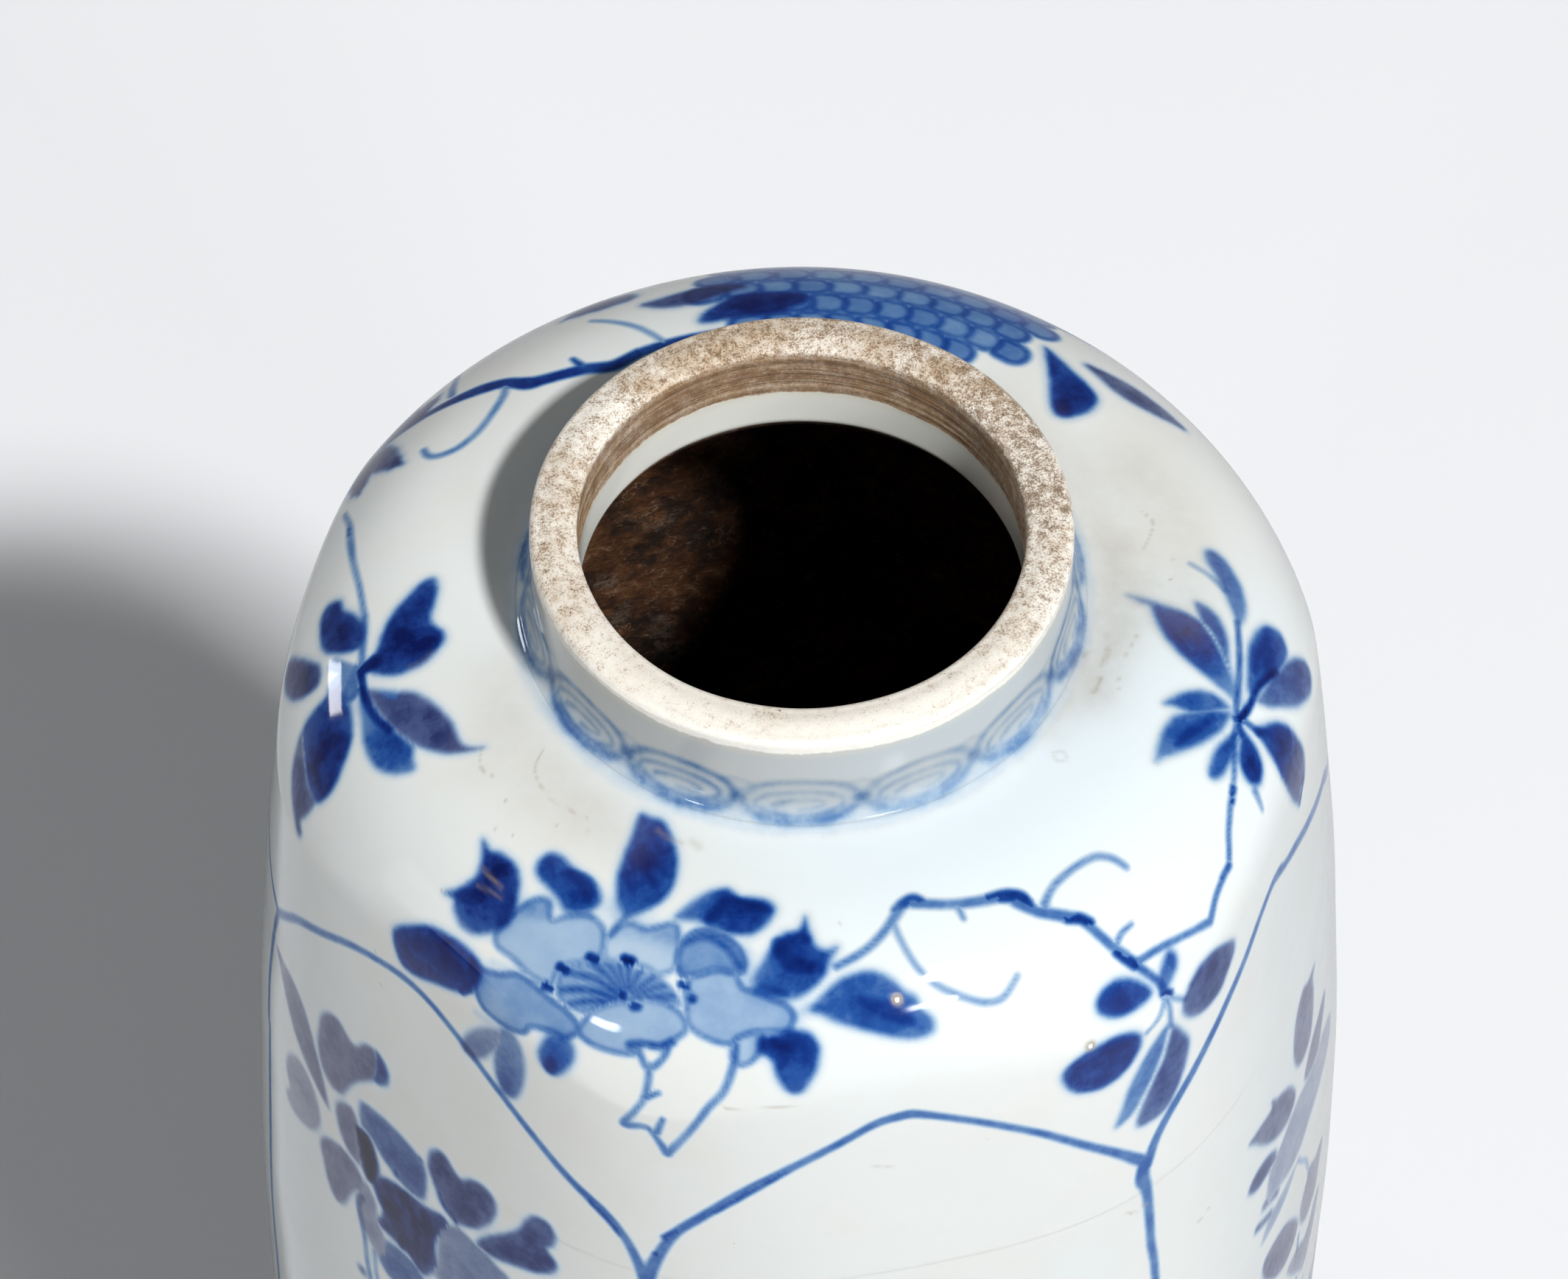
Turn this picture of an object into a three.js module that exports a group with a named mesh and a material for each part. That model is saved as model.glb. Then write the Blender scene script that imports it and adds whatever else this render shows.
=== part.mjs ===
// A hexagonal porcelain vase with a domed shoulder, and its plug-in cover standing behind it.
// Millimetres, +Z up. The origin is the middle of the ground that the vase and its cover stand on.
import * as THREE from 'three'
import { mergeVertices } from 'three/addons/utils/BufferGeometryUtils.js'

// Vase heights
const vaseHeight = 250
const footHeight = 8
const baseThickness = 6
const bellyHeight = 138 // from the ground to the widest place
const neckHeight = 12.5
const shoulderRise = 42.1 // from the top of the straight ridges to the foot of the neck

// Ridge radii: the distance from the axis to the six soft ridges
const bellyRidgeRadius = 60.3
const shoulderTaper = 2.3 // the ridges draw in by this from the belly up to the shoulder
const footTaper = 13.3 // and by this from the belly down to the ground
const facetCount = 6
const facetDepth = 1.8 // how far the middle of a facet lies inside the circle of the ridges

// Neck and mouth
const neckRadius = 28
const neckFlare = 1.3 // the neck spreads by this where it meets the shoulder
const neckFlareHeight = 5.6
const neckWall = 4.9
const lipBevel = 0.7

// Walls
const bodyWall = 5
const footWall = 7
const footBevel = 1.2

// Shape of the shoulder's dome: higher powers give a flatter top and a fuller side
const domeFullness = 2.95
const domeFlatness = 2.87

// Cover
const plugClearance = 0.7 // between the plug and the mouth, all round
const plugWall = 4
const plugHeight = 9
const coverOverhang = 3.5 // how far the cover's edge stands out past the lip
const coverEdge = 2.6
const coverRise = 15
const coverWall = 4
const knobRadius = 8
const knobNeckRadius = 4.6
const knobHeight = 14
const knobNeckHeight = 2.8
const knobFullness = 0.8 // under 1, the widest part of the bud lies below its middle
const coverGap = 14 // free ground between the vase's belly and the cover

// Facets of the mesh
const segments = facetCount * 10
const roundSegments = 40

// Fits and places that follow from the sizes above
const neckBaseHeight = vaseHeight - neckHeight
const shoulderHeight = neckBaseHeight - shoulderRise
const shoulderRidgeRadius = bellyRidgeRadius - shoulderTaper
const mouthRadius = neckRadius - neckWall
const neckBaseRadius = neckRadius + neckFlare
const baseTop = footHeight + baseThickness
const plugRadius = mouthRadius - plugClearance
const coverRadius = neckRadius + coverOverhang
const vaseDepth = 2 * (bellyRidgeRadius - facetDepth)
const groundDepth = vaseDepth + coverGap + 2 * coverRadius
const vaseY = (vaseDepth - groundDepth) / 2
const coverY = groundDepth / 2 - coverRadius

const glaze = { color: 0xe3eaea, roughness: 0.12, metalness: 0 }
const blueGlaze = { color: 0x7d97bd, roughness: 0.12, metalness: 0 }
const bareClay = { color: 0xe6dccb, roughness: 0.75, metalness: 0 }

// Ridge radius at a height: one parabola above the belly and one below it
function ridgeRadius(z) {
  const above = z > bellyHeight
  const reach = above ? shoulderHeight - bellyHeight : bellyHeight
  const taper = above ? shoulderTaper : footTaper
  return bellyRidgeRadius - taper * ((z - bellyHeight) / reach) ** 2
}

// Radius of the faceted body at an azimuth, which is counted from the middle of the front facet
function facetRadius(azimuth, z) {
  const fromMiddle = Math.cos((facetCount / 2) * azimuth)
  return ridgeRadius(z) - facetDepth * fromMiddle ** 2
}

// One closed ring of points at a height
function ring(radiusAt, z) {
  const points = []
  for (let i = 0; i < segments; i++) {
    const azimuth = (2 * Math.PI * i) / segments
    const r = radiusAt(azimuth)
    points.push([r * Math.sin(azimuth), -r * Math.cos(azimuth), z])
  }
  return points
}

// A closed band of rings: the last ring joins back to the first, as in a tyre
function hollowForm(rings) {
  const count = rings.length
  const index = []
  for (let row = 0; row < count; row++) {
    const next = (row + 1) % count
    for (let i = 0; i < segments; i++) {
      const j = (i + 1) % segments
      const a = row * segments + i
      const b = row * segments + j
      const c = next * segments + j
      const d = next * segments + i
      index.push(a, b, c, a, c, d)
    }
  }
  return formOf(rings.flat(), index)
}

// A stack of rings from the bottom up, closed by a flat fan at each end
function solidForm(rings) {
  const points = rings.flat()
  const bottom = points.length
  const top = bottom + 1
  const last = (rings.length - 1) * segments
  points.push([0, 0, rings[0][0][2]], [0, 0, rings.at(-1)[0][2]])
  const index = []
  for (let i = 0; i < segments; i++) {
    const j = (i + 1) % segments
    index.push(bottom, j, i, top, last + i, last + j)
    for (let row = 0; row < rings.length - 1; row++) {
      const a = row * segments
      const b = a + segments
      index.push(a + i, a + j, b + j, a + i, b + j, b + i)
    }
  }
  return formOf(points, index)
}

function formOf(points, index) {
  const geometry = new THREE.BufferGeometry()
  geometry.setAttribute('position', new THREE.Float32BufferAttribute(points.flat(), 3))
  geometry.setIndex(index)
  geometry.computeVertexNormals()
  return geometry
}

// A turned form: the profile is [radius, height] pairs, up the outside and back down the inside
function turned(profile, around) {
  const points = profile.map(([r, z]) => new THREE.Vector2(r, z))
  const geometry = new THREE.LatheGeometry(points, around)
  geometry.deleteAttribute('normal')
  geometry.deleteAttribute('uv')
  geometry.rotateX(Math.PI / 2)
  const closed = mergeVertices(geometry, 1e-4)
  closed.computeVertexNormals()
  return closed
}

function steps(from, to, count) {
  return Array.from({ length: count + 1 }, (_, i) => from + ((to - from) * i) / count)
}

function piece(name, geometry, finish) {
  const mesh = new THREE.Mesh(geometry, new THREE.MeshStandardMaterial(finish))
  mesh.name = name
  return mesh
}

// Foot: a ring that follows the body's outline, with a bevelled bare edge to stand on
function footRing() {
  const outer = (z, inset) => ring((a) => facetRadius(a, z) - inset, z)
  const inner = (z) => ring((a) => facetRadius(a, 0) - footWall, z)
  const outside = [outer(0, footBevel), outer(footBevel, 0), outer(footHeight, 0)]
  return hollowForm([inner(0), ...outside, inner(footHeight)])
}

// Base: the slab that the walls stand on
function baseSlab() {
  return solidForm([footHeight, baseTop].map((z) => ring((a) => facetRadius(a, z), z)))
}

// A stretch of the faceted wall between two heights
function bodyWallBetween(low, high, rows) {
  const heights = steps(low, high, rows)
  const outside = heights.map((z) => ring((a) => facetRadius(a, z), z))
  const inside = heights.map((z) => ring((a) => facetRadius(a, z) - bodyWall, z)).reverse()
  return hollowForm([...outside, ...inside])
}

// Radius and height of a dome at a turn from its side, 0, to its top, a quarter turn
function domePoint(turn, sideRadius, topRadius, rise) {
  const out = Math.cos(turn) ** (2 / domeFullness)
  const up = Math.sin(turn) ** (2 / domeFlatness)
  return [topRadius + (sideRadius - topRadius) * out, shoulderHeight + rise * up]
}

// Shoulder: a round dome that the six facets run up into, so each facet ends in an arch
function shoulderDome() {
  const turns = steps(0, Math.PI / 2, 11)
  const outside = turns.map((turn) => {
    const [r, z] = domePoint(turn, shoulderRidgeRadius, neckBaseRadius, shoulderRise)
    return ring((a) => Math.min(r, facetRadius(a, z)), z)
  })
  const inside = turns.map((turn) => {
    const [r, z] = domePoint(turn, shoulderRidgeRadius - bodyWall, mouthRadius, shoulderRise - bodyWall)
    return ring((a) => Math.min(r, facetRadius(a, z) - bodyWall), z)
  })
  const seat = ring(() => mouthRadius, neckBaseHeight)
  return hollowForm([...outside, seat, ...inside.reverse()])
}

// Neck: a short upright wall with a flat bare lip, spreading into the shoulder
function neck() {
  const flare = steps(0, 1, 4).map((t) => [
    neckBaseRadius - neckFlare * Math.sin((t * Math.PI) / 2),
    neckBaseHeight + neckFlareHeight * t,
  ])
  return turned([
    [mouthRadius, neckBaseHeight],
    ...flare,
    [neckRadius, vaseHeight - lipBevel],
    [neckRadius - lipBevel, vaseHeight],
    [mouthRadius + lipBevel, vaseHeight],
    [mouthRadius, vaseHeight - lipBevel],
    [mouthRadius, neckBaseHeight],
  ], segments)
}

// Cover: its plug stands on the ground, the domed cap rests on the plug and carries the knob
function coverPlug() {
  const inner = plugRadius - plugWall
  return turned([
    [inner, 0],
    [plugRadius, 0],
    [plugRadius, plugHeight],
    [inner, plugHeight],
    [inner, 0],
  ], roundSegments)
}

// Height of the cap's outside at a radius: a low dome with a flat crown for the knob
function capPoint(turn, edgeRadius, bottom, rise) {
  const r = knobNeckRadius + (edgeRadius - knobNeckRadius) * Math.cos(turn)
  return [r, bottom + rise * Math.sin(turn)]
}

function coverCap() {
  const turns = steps(0, Math.PI / 2, 9)
  const hollowRadius = plugRadius - plugWall
  const top = plugHeight + coverEdge
  const outside = turns.map((turn) => capPoint(turn, coverRadius, top, coverRise))
  const hollowRise = coverEdge + coverRise - coverWall
  const inside = turns.map((turn) => capPoint(turn, hollowRadius, plugHeight, hollowRise))
  return turned([
    [hollowRadius, plugHeight],
    [coverRadius, plugHeight],
    ...outside,
    [0, top + coverRise],
    [0, plugHeight + hollowRise],
    ...inside.reverse(),
  ], roundSegments)
}

// Knob: a pointed bud on a narrow neck
function coverKnob() {
  const bottom = plugHeight + coverEdge + coverRise
  const neckTop = bottom + knobNeckHeight
  const budHeight = knobHeight - knobNeckHeight
  const bud = steps(0, 1, 10).slice(1, -1).map((t) => {
    const ball = knobRadius * Math.sin(Math.PI * t ** knobFullness)
    return [Math.max(ball, knobNeckRadius * (1 - t)), neckTop + budHeight * t]
  })
  return turned([[0, bottom], [knobNeckRadius, bottom], ...bud, [0, bottom + knobHeight]], roundSegments)
}

const vase = new THREE.Group()
vase.position.y = vaseY
vase.add(
  piece('foot_ring', footRing(), bareClay),
  piece('base_slab', baseSlab(), glaze),
  piece('lower_body', bodyWallBetween(baseTop, bellyHeight, 9), blueGlaze),
  piece('upper_body', bodyWallBetween(bellyHeight, shoulderHeight, 5), blueGlaze),
  piece('shoulder', shoulderDome(), blueGlaze),
  piece('neck', neck(), glaze),
)

const cover = new THREE.Group()
cover.position.y = coverY
cover.add(
  piece('cover_plug', coverPlug(), bareClay),
  piece('cover_cap', coverCap(), blueGlaze),
  piece('cover_knob', coverKnob(), blueGlaze),
)

const coveredVase = new THREE.Group()
coveredVase.add(vase, cover)

export default coveredVase
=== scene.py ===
import math
import bpy
import numpy as np
from mathutils import Matrix, Vector


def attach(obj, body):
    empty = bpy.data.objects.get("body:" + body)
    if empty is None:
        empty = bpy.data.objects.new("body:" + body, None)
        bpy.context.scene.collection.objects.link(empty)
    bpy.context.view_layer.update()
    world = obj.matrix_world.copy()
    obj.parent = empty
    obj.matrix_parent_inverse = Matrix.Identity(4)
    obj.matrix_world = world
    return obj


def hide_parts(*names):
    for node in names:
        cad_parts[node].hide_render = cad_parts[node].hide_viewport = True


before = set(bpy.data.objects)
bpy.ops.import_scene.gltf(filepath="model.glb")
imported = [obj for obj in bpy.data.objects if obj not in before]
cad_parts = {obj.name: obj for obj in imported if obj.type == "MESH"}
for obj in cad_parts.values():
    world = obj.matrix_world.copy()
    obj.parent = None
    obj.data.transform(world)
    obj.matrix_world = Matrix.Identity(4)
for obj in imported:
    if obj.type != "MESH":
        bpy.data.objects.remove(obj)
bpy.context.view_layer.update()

# Everything below is worked out in millimetres, and scaled to metres where a mesh is made
mm = 0.001
vaseY = -38.5  # where the two axes stand
coverY = 65.5


class Wire:
    # A socket in a node tree: arithmetic on it adds Math nodes, node() adds any other node
    def __init__(self, tree, socket=None):
        self.tree = tree
        self.socket = socket

    def node(self, kind, settings=None, inputs=None, out=0):
        made = self.tree.nodes.new(kind)
        for name, value in (settings or {}).items():
            if name == "stops":
                setStops(made.color_ramp, value)
            else:
                setattr(made, name, value)
        for name, value in (inputs or {}).items():
            if isinstance(value, Wire):
                self.tree.links.new(value.socket, made.inputs[name])
            else:
                made.inputs[name].default_value = value
        return Wire(self.tree, made.outputs[out] if len(made.outputs) else None)

    def math(self, operation, *values):
        settings = {"operation": operation}
        return self.node("ShaderNodeMath", settings, dict(enumerate(values)))

    def __add__(self, other):
        return self.math("ADD", self, other)

    def __sub__(self, other):
        return self.math("SUBTRACT", self, other)

    def __mul__(self, other):
        return self.math("MULTIPLY", self, other)

    def __truediv__(self, other):
        return self.math("DIVIDE", self, other)

    def __pow__(self, other):
        return self.math("POWER", self, other)

    def __radd__(self, other):
        return self.math("ADD", other, self)

    def __rsub__(self, other):
        return self.math("SUBTRACT", other, self)

    def __rmul__(self, other):
        return self.math("MULTIPLY", other, self)

    def least(self, other):
        return self.math("MINIMUM", self, other)

    def ramped(self, low, high, soft=True):
        # 0 at low, 1 at high, with high below low for a falling ramp
        settings = {"interpolation_type": "SMOOTHSTEP" if soft else "LINEAR"}
        return self.node("ShaderNodeMapRange", settings, {0: self, 1: low, 2: high, 3: 0.0, 4: 1.0})

    def part(self, index):
        return self.node("ShaderNodeSeparateXYZ", None, {0: self}, index)

    def vector(self, operation, other):
        key = 3 if operation == "SCALE" else 1
        return self.node("ShaderNodeVectorMath", {"operation": operation}, {0: self, key: other})


def setStops(ramp, stops):
    while len(ramp.elements) < len(stops):
        ramp.elements.new(0.5)
    for element, (place, colour) in zip(ramp.elements, stops):
        element.position = place
        element.color = (*colour, 1.0)


def blended(share, first, second):
    # Two colours mixed by a share
    values = {0: share, 6: first, 7: second}
    for key in (6, 7):
        if not isinstance(values[key], Wire):
            values[key] = (*values[key], 1.0)
    return share.node("ShaderNodeMix", {"data_type": "RGBA"}, values, 2)


def noise(place, scale, detail=3.0, roughness=0.5, twist=0.0):
    inputs = {"Vector": place, "Scale": scale, "Detail": detail, "Roughness": roughness, "Distortion": twist}
    return place.node("ShaderNodeTexNoise", None, inputs)


def rgb(red, green, blue):
    # A colour given as it looks on a screen, 0 to 255
    def linear(value):
        value /= 255
        return value / 12.92 if value <= 0.04045 else ((value + 0.055) / 1.055) ** 2.4
    return linear(red), linear(green), linear(blue)


def newMaterial(name):
    # An empty material with its output and shader: returns it, a wire, and the shader node
    material = bpy.data.materials.new(name)
    material.use_nodes = True
    tree = material.node_tree
    tree.nodes.clear()
    shader = tree.nodes.new("ShaderNodeBsdfPrincipled")
    output = tree.nodes.new("ShaderNodeOutputMaterial")
    tree.links.new(shader.outputs[0], output.inputs[0])
    return material, Wire(tree), shader


def feed(wire, shader, inputs):
    for name, value in inputs.items():
        if isinstance(value, Wire):
            wire.tree.links.new(value.socket, shader.inputs[name])
        else:
            shader.inputs[name].default_value = value


def placeInMm(wire):
    place = wire.node("ShaderNodeTexCoord", None, None, 3)
    return place.vector("SCALE", 1000.0)


def bumped(wire, height, distance, strength, under=None):
    inputs = {"Height": height, "Distance": distance * mm, "Strength": strength}
    if under:
        inputs["Normal"] = under
    return wire.node("ShaderNodeBump", None, inputs)


form = {  # the vase, in mm
    "vaseHeight": 250.0,
    "neckHeight": 12.5,
    "shoulderRise": 42.1,
    "bellyHeight": 138.0,
    "baseTop": 14.0,
    "footHeight": 8.0,
    "ridgeRadius": 60.3,
    "shoulderTaper": 2.3,
    "footTaper": 13.3,
    "facetDepth": 1.8,
    "neckRadius": 28.0,
    "neckFlare": 1.3,
    "flareHeight": 5.6,
    "mouthRadius": 23.1,
    "wall": 5.0,
    "footWall": 7.0,
    "domeFullness": 2.95,
    "domeFlatness": 2.87,
    "filletReach": 1.3,  # softens the corner where the neck meets the shoulder
    "filletFade": 4.0,  # and dies away this far from it
    "archSoftness": 1.3,
    "domeSpread": 0.15,  # how fast the dome clears the facets below the shoulder
    "facetsBegin": 12.0,  # mm down from the neck by which the facets are full
    "archesEnd": 57.0,  # and by which their arches have met the ridges
    "lean": -0.4,  # the body sits this far to the left of its neck
    "leanReach": 30.0,
    "waves": (  # a hand-built wall's unevenness: height, waves round, drift with height, start
        (0.10, 2, 0.035, 0.0), (0.07, 3, -0.06, 1.3), (0.045, 7, 0.11, 0.6)),
    "throwing": 0.04,  # height of the slow rings left by the hands
    "ridges": (-147.5, -86.0, -28.0, 28.0, 90.0, 151.5, 212.5),  # degrees round from the front
}
neckFoot = form["vaseHeight"] - form["neckHeight"]
shoulderFoot = neckFoot - form["shoulderRise"]


def ridgeAt(z):
    above = z > form["bellyHeight"]
    reach = np.where(above, shoulderFoot - form["bellyHeight"], form["bellyHeight"])
    taper = np.where(above, form["shoulderTaper"], form["footTaper"])
    return form["ridgeRadius"] - taper * ((z - form["bellyHeight"]) / reach) ** 2


def outerProfile():
    # Stations down the outside, counted in mm from the foot of the neck, with radius and height
    count = 500
    turn = np.radians(np.linspace(90, 0, count))
    side = form["ridgeRadius"] - form["shoulderTaper"]
    top = form["neckRadius"] + form["neckFlare"]
    domeR = top + (side - top) * np.cos(turn).clip(0) ** (2 / form["domeFullness"])
    domeZ = shoulderFoot + form["shoulderRise"] * np.sin(turn) ** (2 / form["domeFlatness"])
    wallZ = np.linspace(shoulderFoot, 0, count)[1:]
    radius = np.concatenate([domeR, ridgeAt(wallZ)])
    height = np.concatenate([domeZ, wallZ])
    down = np.concatenate([[0], np.cumsum(np.hypot(np.diff(radius), np.diff(height)))])
    neckZ = np.linspace(form["vaseHeight"], neckFoot, 200)[:-1]
    rise = ((neckZ - neckFoot) / form["flareHeight"]).clip(0, 1)
    neckR = top - form["neckFlare"] * np.sin(rise * np.pi / 2)
    station = np.concatenate([neckFoot - neckZ, down])
    spacing = 0.1
    evenly = np.arange(station[0], station[-1], spacing)
    radius = np.interp(evenly, station, np.concatenate([neckR, radius]))
    height = np.interp(evenly, station, np.concatenate([neckZ, height]))
    # The corner at the foot of the neck is rounded by a moving average that fades away from it
    reach = int(form["filletReach"] / spacing)
    kernel = np.exp(-0.5 * (np.arange(-3 * reach, 3 * reach + 1) / reach) ** 2)
    near = np.exp(-((evenly / form["filletFade"]) ** 4))
    for line in (radius, height):
        eased = np.convolve(np.pad(line, 3 * reach, mode="edge"), kernel / kernel.sum(), mode="valid")
        line += (eased - line) * near
    return evenly, radius, height


stationList, radiusList, heightList = outerProfile()
lastStation = stationList[-1]


def stationOf(z):
    # The station on the outside at a height
    return np.interp(-z, -heightList, stationList)


def facetShare(theta):
    # 0 on a ridge and 1 in the middle of a facet
    ridges = np.array(form["ridges"])
    around = (theta - ridges[0]) % 360 + ridges[0]
    index = np.searchsorted(ridges, around, side="right").clip(1, 6) - 1
    share = (around - ridges[index]) / (ridges[index + 1] - ridges[index])
    return np.sin(np.pi * share) ** 2


def handMade(theta, z):
    # The slow unevenness of a hand-built wall, in mm
    a = np.radians(theta)
    waves = sum(high * np.sin(around * a + drift * z + start) for high, around, drift, start in form["waves"])
    return waves + form["throwing"] * np.sin(0.23 * z + 2 * np.sin(a))


def ringAt(theta, radius, z, axisY=vaseY, shift=0.0):
    # Points round an axis; radius and z may vary along the ring
    a = np.radians(theta)
    return np.stack([radius * np.sin(a) + shift, axisY - radius * np.cos(a), z + 0.0 * a], -1)


def outside(theta, station):
    # Points on the vase's outside: theta in degrees round from the front, station in mm
    theta, station = np.broadcast_arrays(theta, station)
    radius = np.interp(station, stationList, radiusList)
    z = np.interp(station, stationList, heightList)
    share = facetShare(theta)
    panel = ridgeAt(z) - form["facetDepth"] * share
    dome = radius + form["domeSpread"] * (shoulderFoot - z).clip(0)
    soft = form["archSoftness"] * share + 1e-6
    h = (0.5 + 0.5 * (panel - dome) / soft).clip(0, 1)
    faceted = panel * (1 - h) + dome * h - soft * h * (1 - h)
    body = (station / form["facetsBegin"]).clip(0, 1)
    radius = radius + (np.minimum(faceted, radius) - radius) * body
    radius = radius + handMade(theta, z) * body
    return ringAt(theta, radius, z, vaseY, form["lean"] * (station / form["leanReach"]).clip(0, 1))


def scaledIn(points, share, z):
    # The same ring of points brought in to a share of its distance from the vase's axis, at height z
    moved = points.copy()
    moved[:, :2] = np.array([0.0, vaseY]) + (points[:, :2] - np.array([0.0, vaseY])) * share
    moved[:, 2] = z
    return moved


def drawnIn(points, by, z):
    # The same ring brought in by so many mm, for an inside wall
    length = np.hypot(points[:, 0], points[:, 1] - vaseY)[:, None]
    return scaledIn(points, 1 - by / length, z)


def arc(start, end, count, centre, size):
    # Radius and height of points along a quarter or half turn, from 0 outwards to 90 upwards
    turns = [math.radians(turn) for turn in np.linspace(start, end, count)]
    return [(centre[0] + size[0] * math.cos(t), centre[1] + size[1] * math.sin(t)) for t in turns]


def columns(count):
    return np.arange(count) * 360.0 / count - 180.0


def makeMesh(name, rings, looped, materials, finishOf, alongV=None, sharp=40):
    # A closed mesh from rings: looped joins the last ring to the first, else a fan closes each end.
    # finishOf gives each row of faces its material, and alongV each ring its place up the map
    rings = np.asarray(rings, float)
    rows, cols = rings.shape[:2]
    points = rings.reshape(-1, 3)
    first = np.arange(rows if looped else rows - 1)
    a = (first[:, None] * cols) + np.arange(cols)
    b = (first[:, None] * cols) + (np.arange(cols) + 1) % cols
    c = ((first[:, None] + 1) % rows) * cols + (np.arange(cols) + 1) % cols
    d = ((first[:, None] + 1) % rows) * cols + np.arange(cols)
    quads = np.stack([a, b, c, d], -1).reshape(-1, 4)
    if alongV is None:
        alongV = np.linspace(0, 1, rows + 1)
    left = np.broadcast_to(np.arange(cols) / cols, a.shape)
    right = left + 1 / cols
    low = np.broadcast_to(alongV[first][:, None], a.shape)
    high = np.broadcast_to(alongV[first + 1][:, None], a.shape)
    uv = np.stack([left, low, right, low, right, high, left, high], -1).reshape(-1, 2)
    faces = quads.tolist()
    finishes = np.repeat([finishOf(row) for row in first], cols).tolist()
    if not looped:
        for ring, turned in ((0, True), (rows - 1, False)):
            middle = len(points)
            points = np.vstack([points, rings[ring].mean(0)])
            for i in range(cols):
                j = (i + 1) % cols
                pair = (ring * cols + j, ring * cols + i) if turned else (ring * cols + i, ring * cols + j)
                faces.append([middle, *pair])
                finishes.append(finishOf(ring if turned else rows - 2))
            v = alongV[ring]
            fan = [[(i + 0.5) / cols, v, i / cols, v, (i + 1) / cols, v] for i in range(cols)]
            uv = np.vstack([uv, np.array(fan).reshape(-1, 2)])
    turnedOut = np.einsum("ij,ij->", points[quads[:, 0]], np.cross(points[quads[:, 1]], points[quads[:, 2]]))
    mesh = bpy.data.meshes.new(name)
    mesh.from_pydata((points * mm).tolist(), [], faces)
    layer = mesh.uv_layers.new(name="OFBake")
    layer.data.foreach_set("uv", uv.ravel())
    for material in materials:
        mesh.materials.append(material)
    mesh.polygons.foreach_set("material_index", finishes)
    if turnedOut < 0:
        mesh.flip_normals()
    mesh.shade_smooth()
    mesh.set_sharp_from_angle(angle=math.radians(sharp))
    made = bpy.data.objects.new(name, mesh)
    bpy.context.scene.collection.objects.link(made)
    return made


def addVectors(made, name, values):
    # One vector for each point of a mesh; points past the end of the list get the last one's value
    values = np.asarray(values, np.float32).reshape(-1, 3)
    count = len(made.data.vertices)
    if len(values) < count:
        values = np.vstack([values, np.repeat(values[-1:], count - len(values), 0)])
    attribute = made.data.attributes.new(name, "FLOAT_VECTOR", "POINT")
    attribute.data.foreach_set("vector", values.ravel())


def numbersIn(text):
    # "a b, c d" as rows of numbers
    return np.array([[float(word) for word in point.split()] for point in text.split(",")])


def smoothRun(befores, starts, ends, afters, steps=4):
    # A curve through each start, with a few points on the way to each end
    made = []
    for before, start, end, after in zip(befores, starts, ends, afters):
        for t in np.arange(steps) / steps:
            bend = (2 * before - 5 * start + 4 * end - after) * t ** 2
            made.append(0.5 * (2 * start + (end - before) * t + bend
                               + (3 * start - before - 3 * end + after) * t ** 3))
    return made


def spineOf(shape):
    # "x y r, x y r" as a smooth run of discs: degrees round, mm down and radius in mm
    if not isinstance(shape, str):
        return shape
    points = numbersIn(shape)
    if len(points) < 3:
        return points if len(points) == 2 else np.repeat(points, 2, 0)
    padded = np.vstack([2 * points[0] - points[1], points, 2 * points[-1] - points[-2]])
    made = np.array(smoothRun(padded, padded[1:], padded[2:], padded[3:]) + [points[-1]])
    made[:, 2] = made[:, 2].clip(points[:, 2].min())
    return made


def outlineOf(text):
    # "x y, x y" as a smooth closed outline: degrees round and mm down
    points = numbersIn(text)
    made = smoothRun(np.roll(points, 1, 0), points, np.roll(points, -1, 0), np.roll(points, -2, 0))
    made.append(made[0])
    return np.column_stack([made, np.zeros(len(made))])


def hoop(station, half, step=4):
    # The spine of a line all the way round
    return ", ".join(f"{theta} {station} {half}" for theta in range(-182, 183, step))


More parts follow.
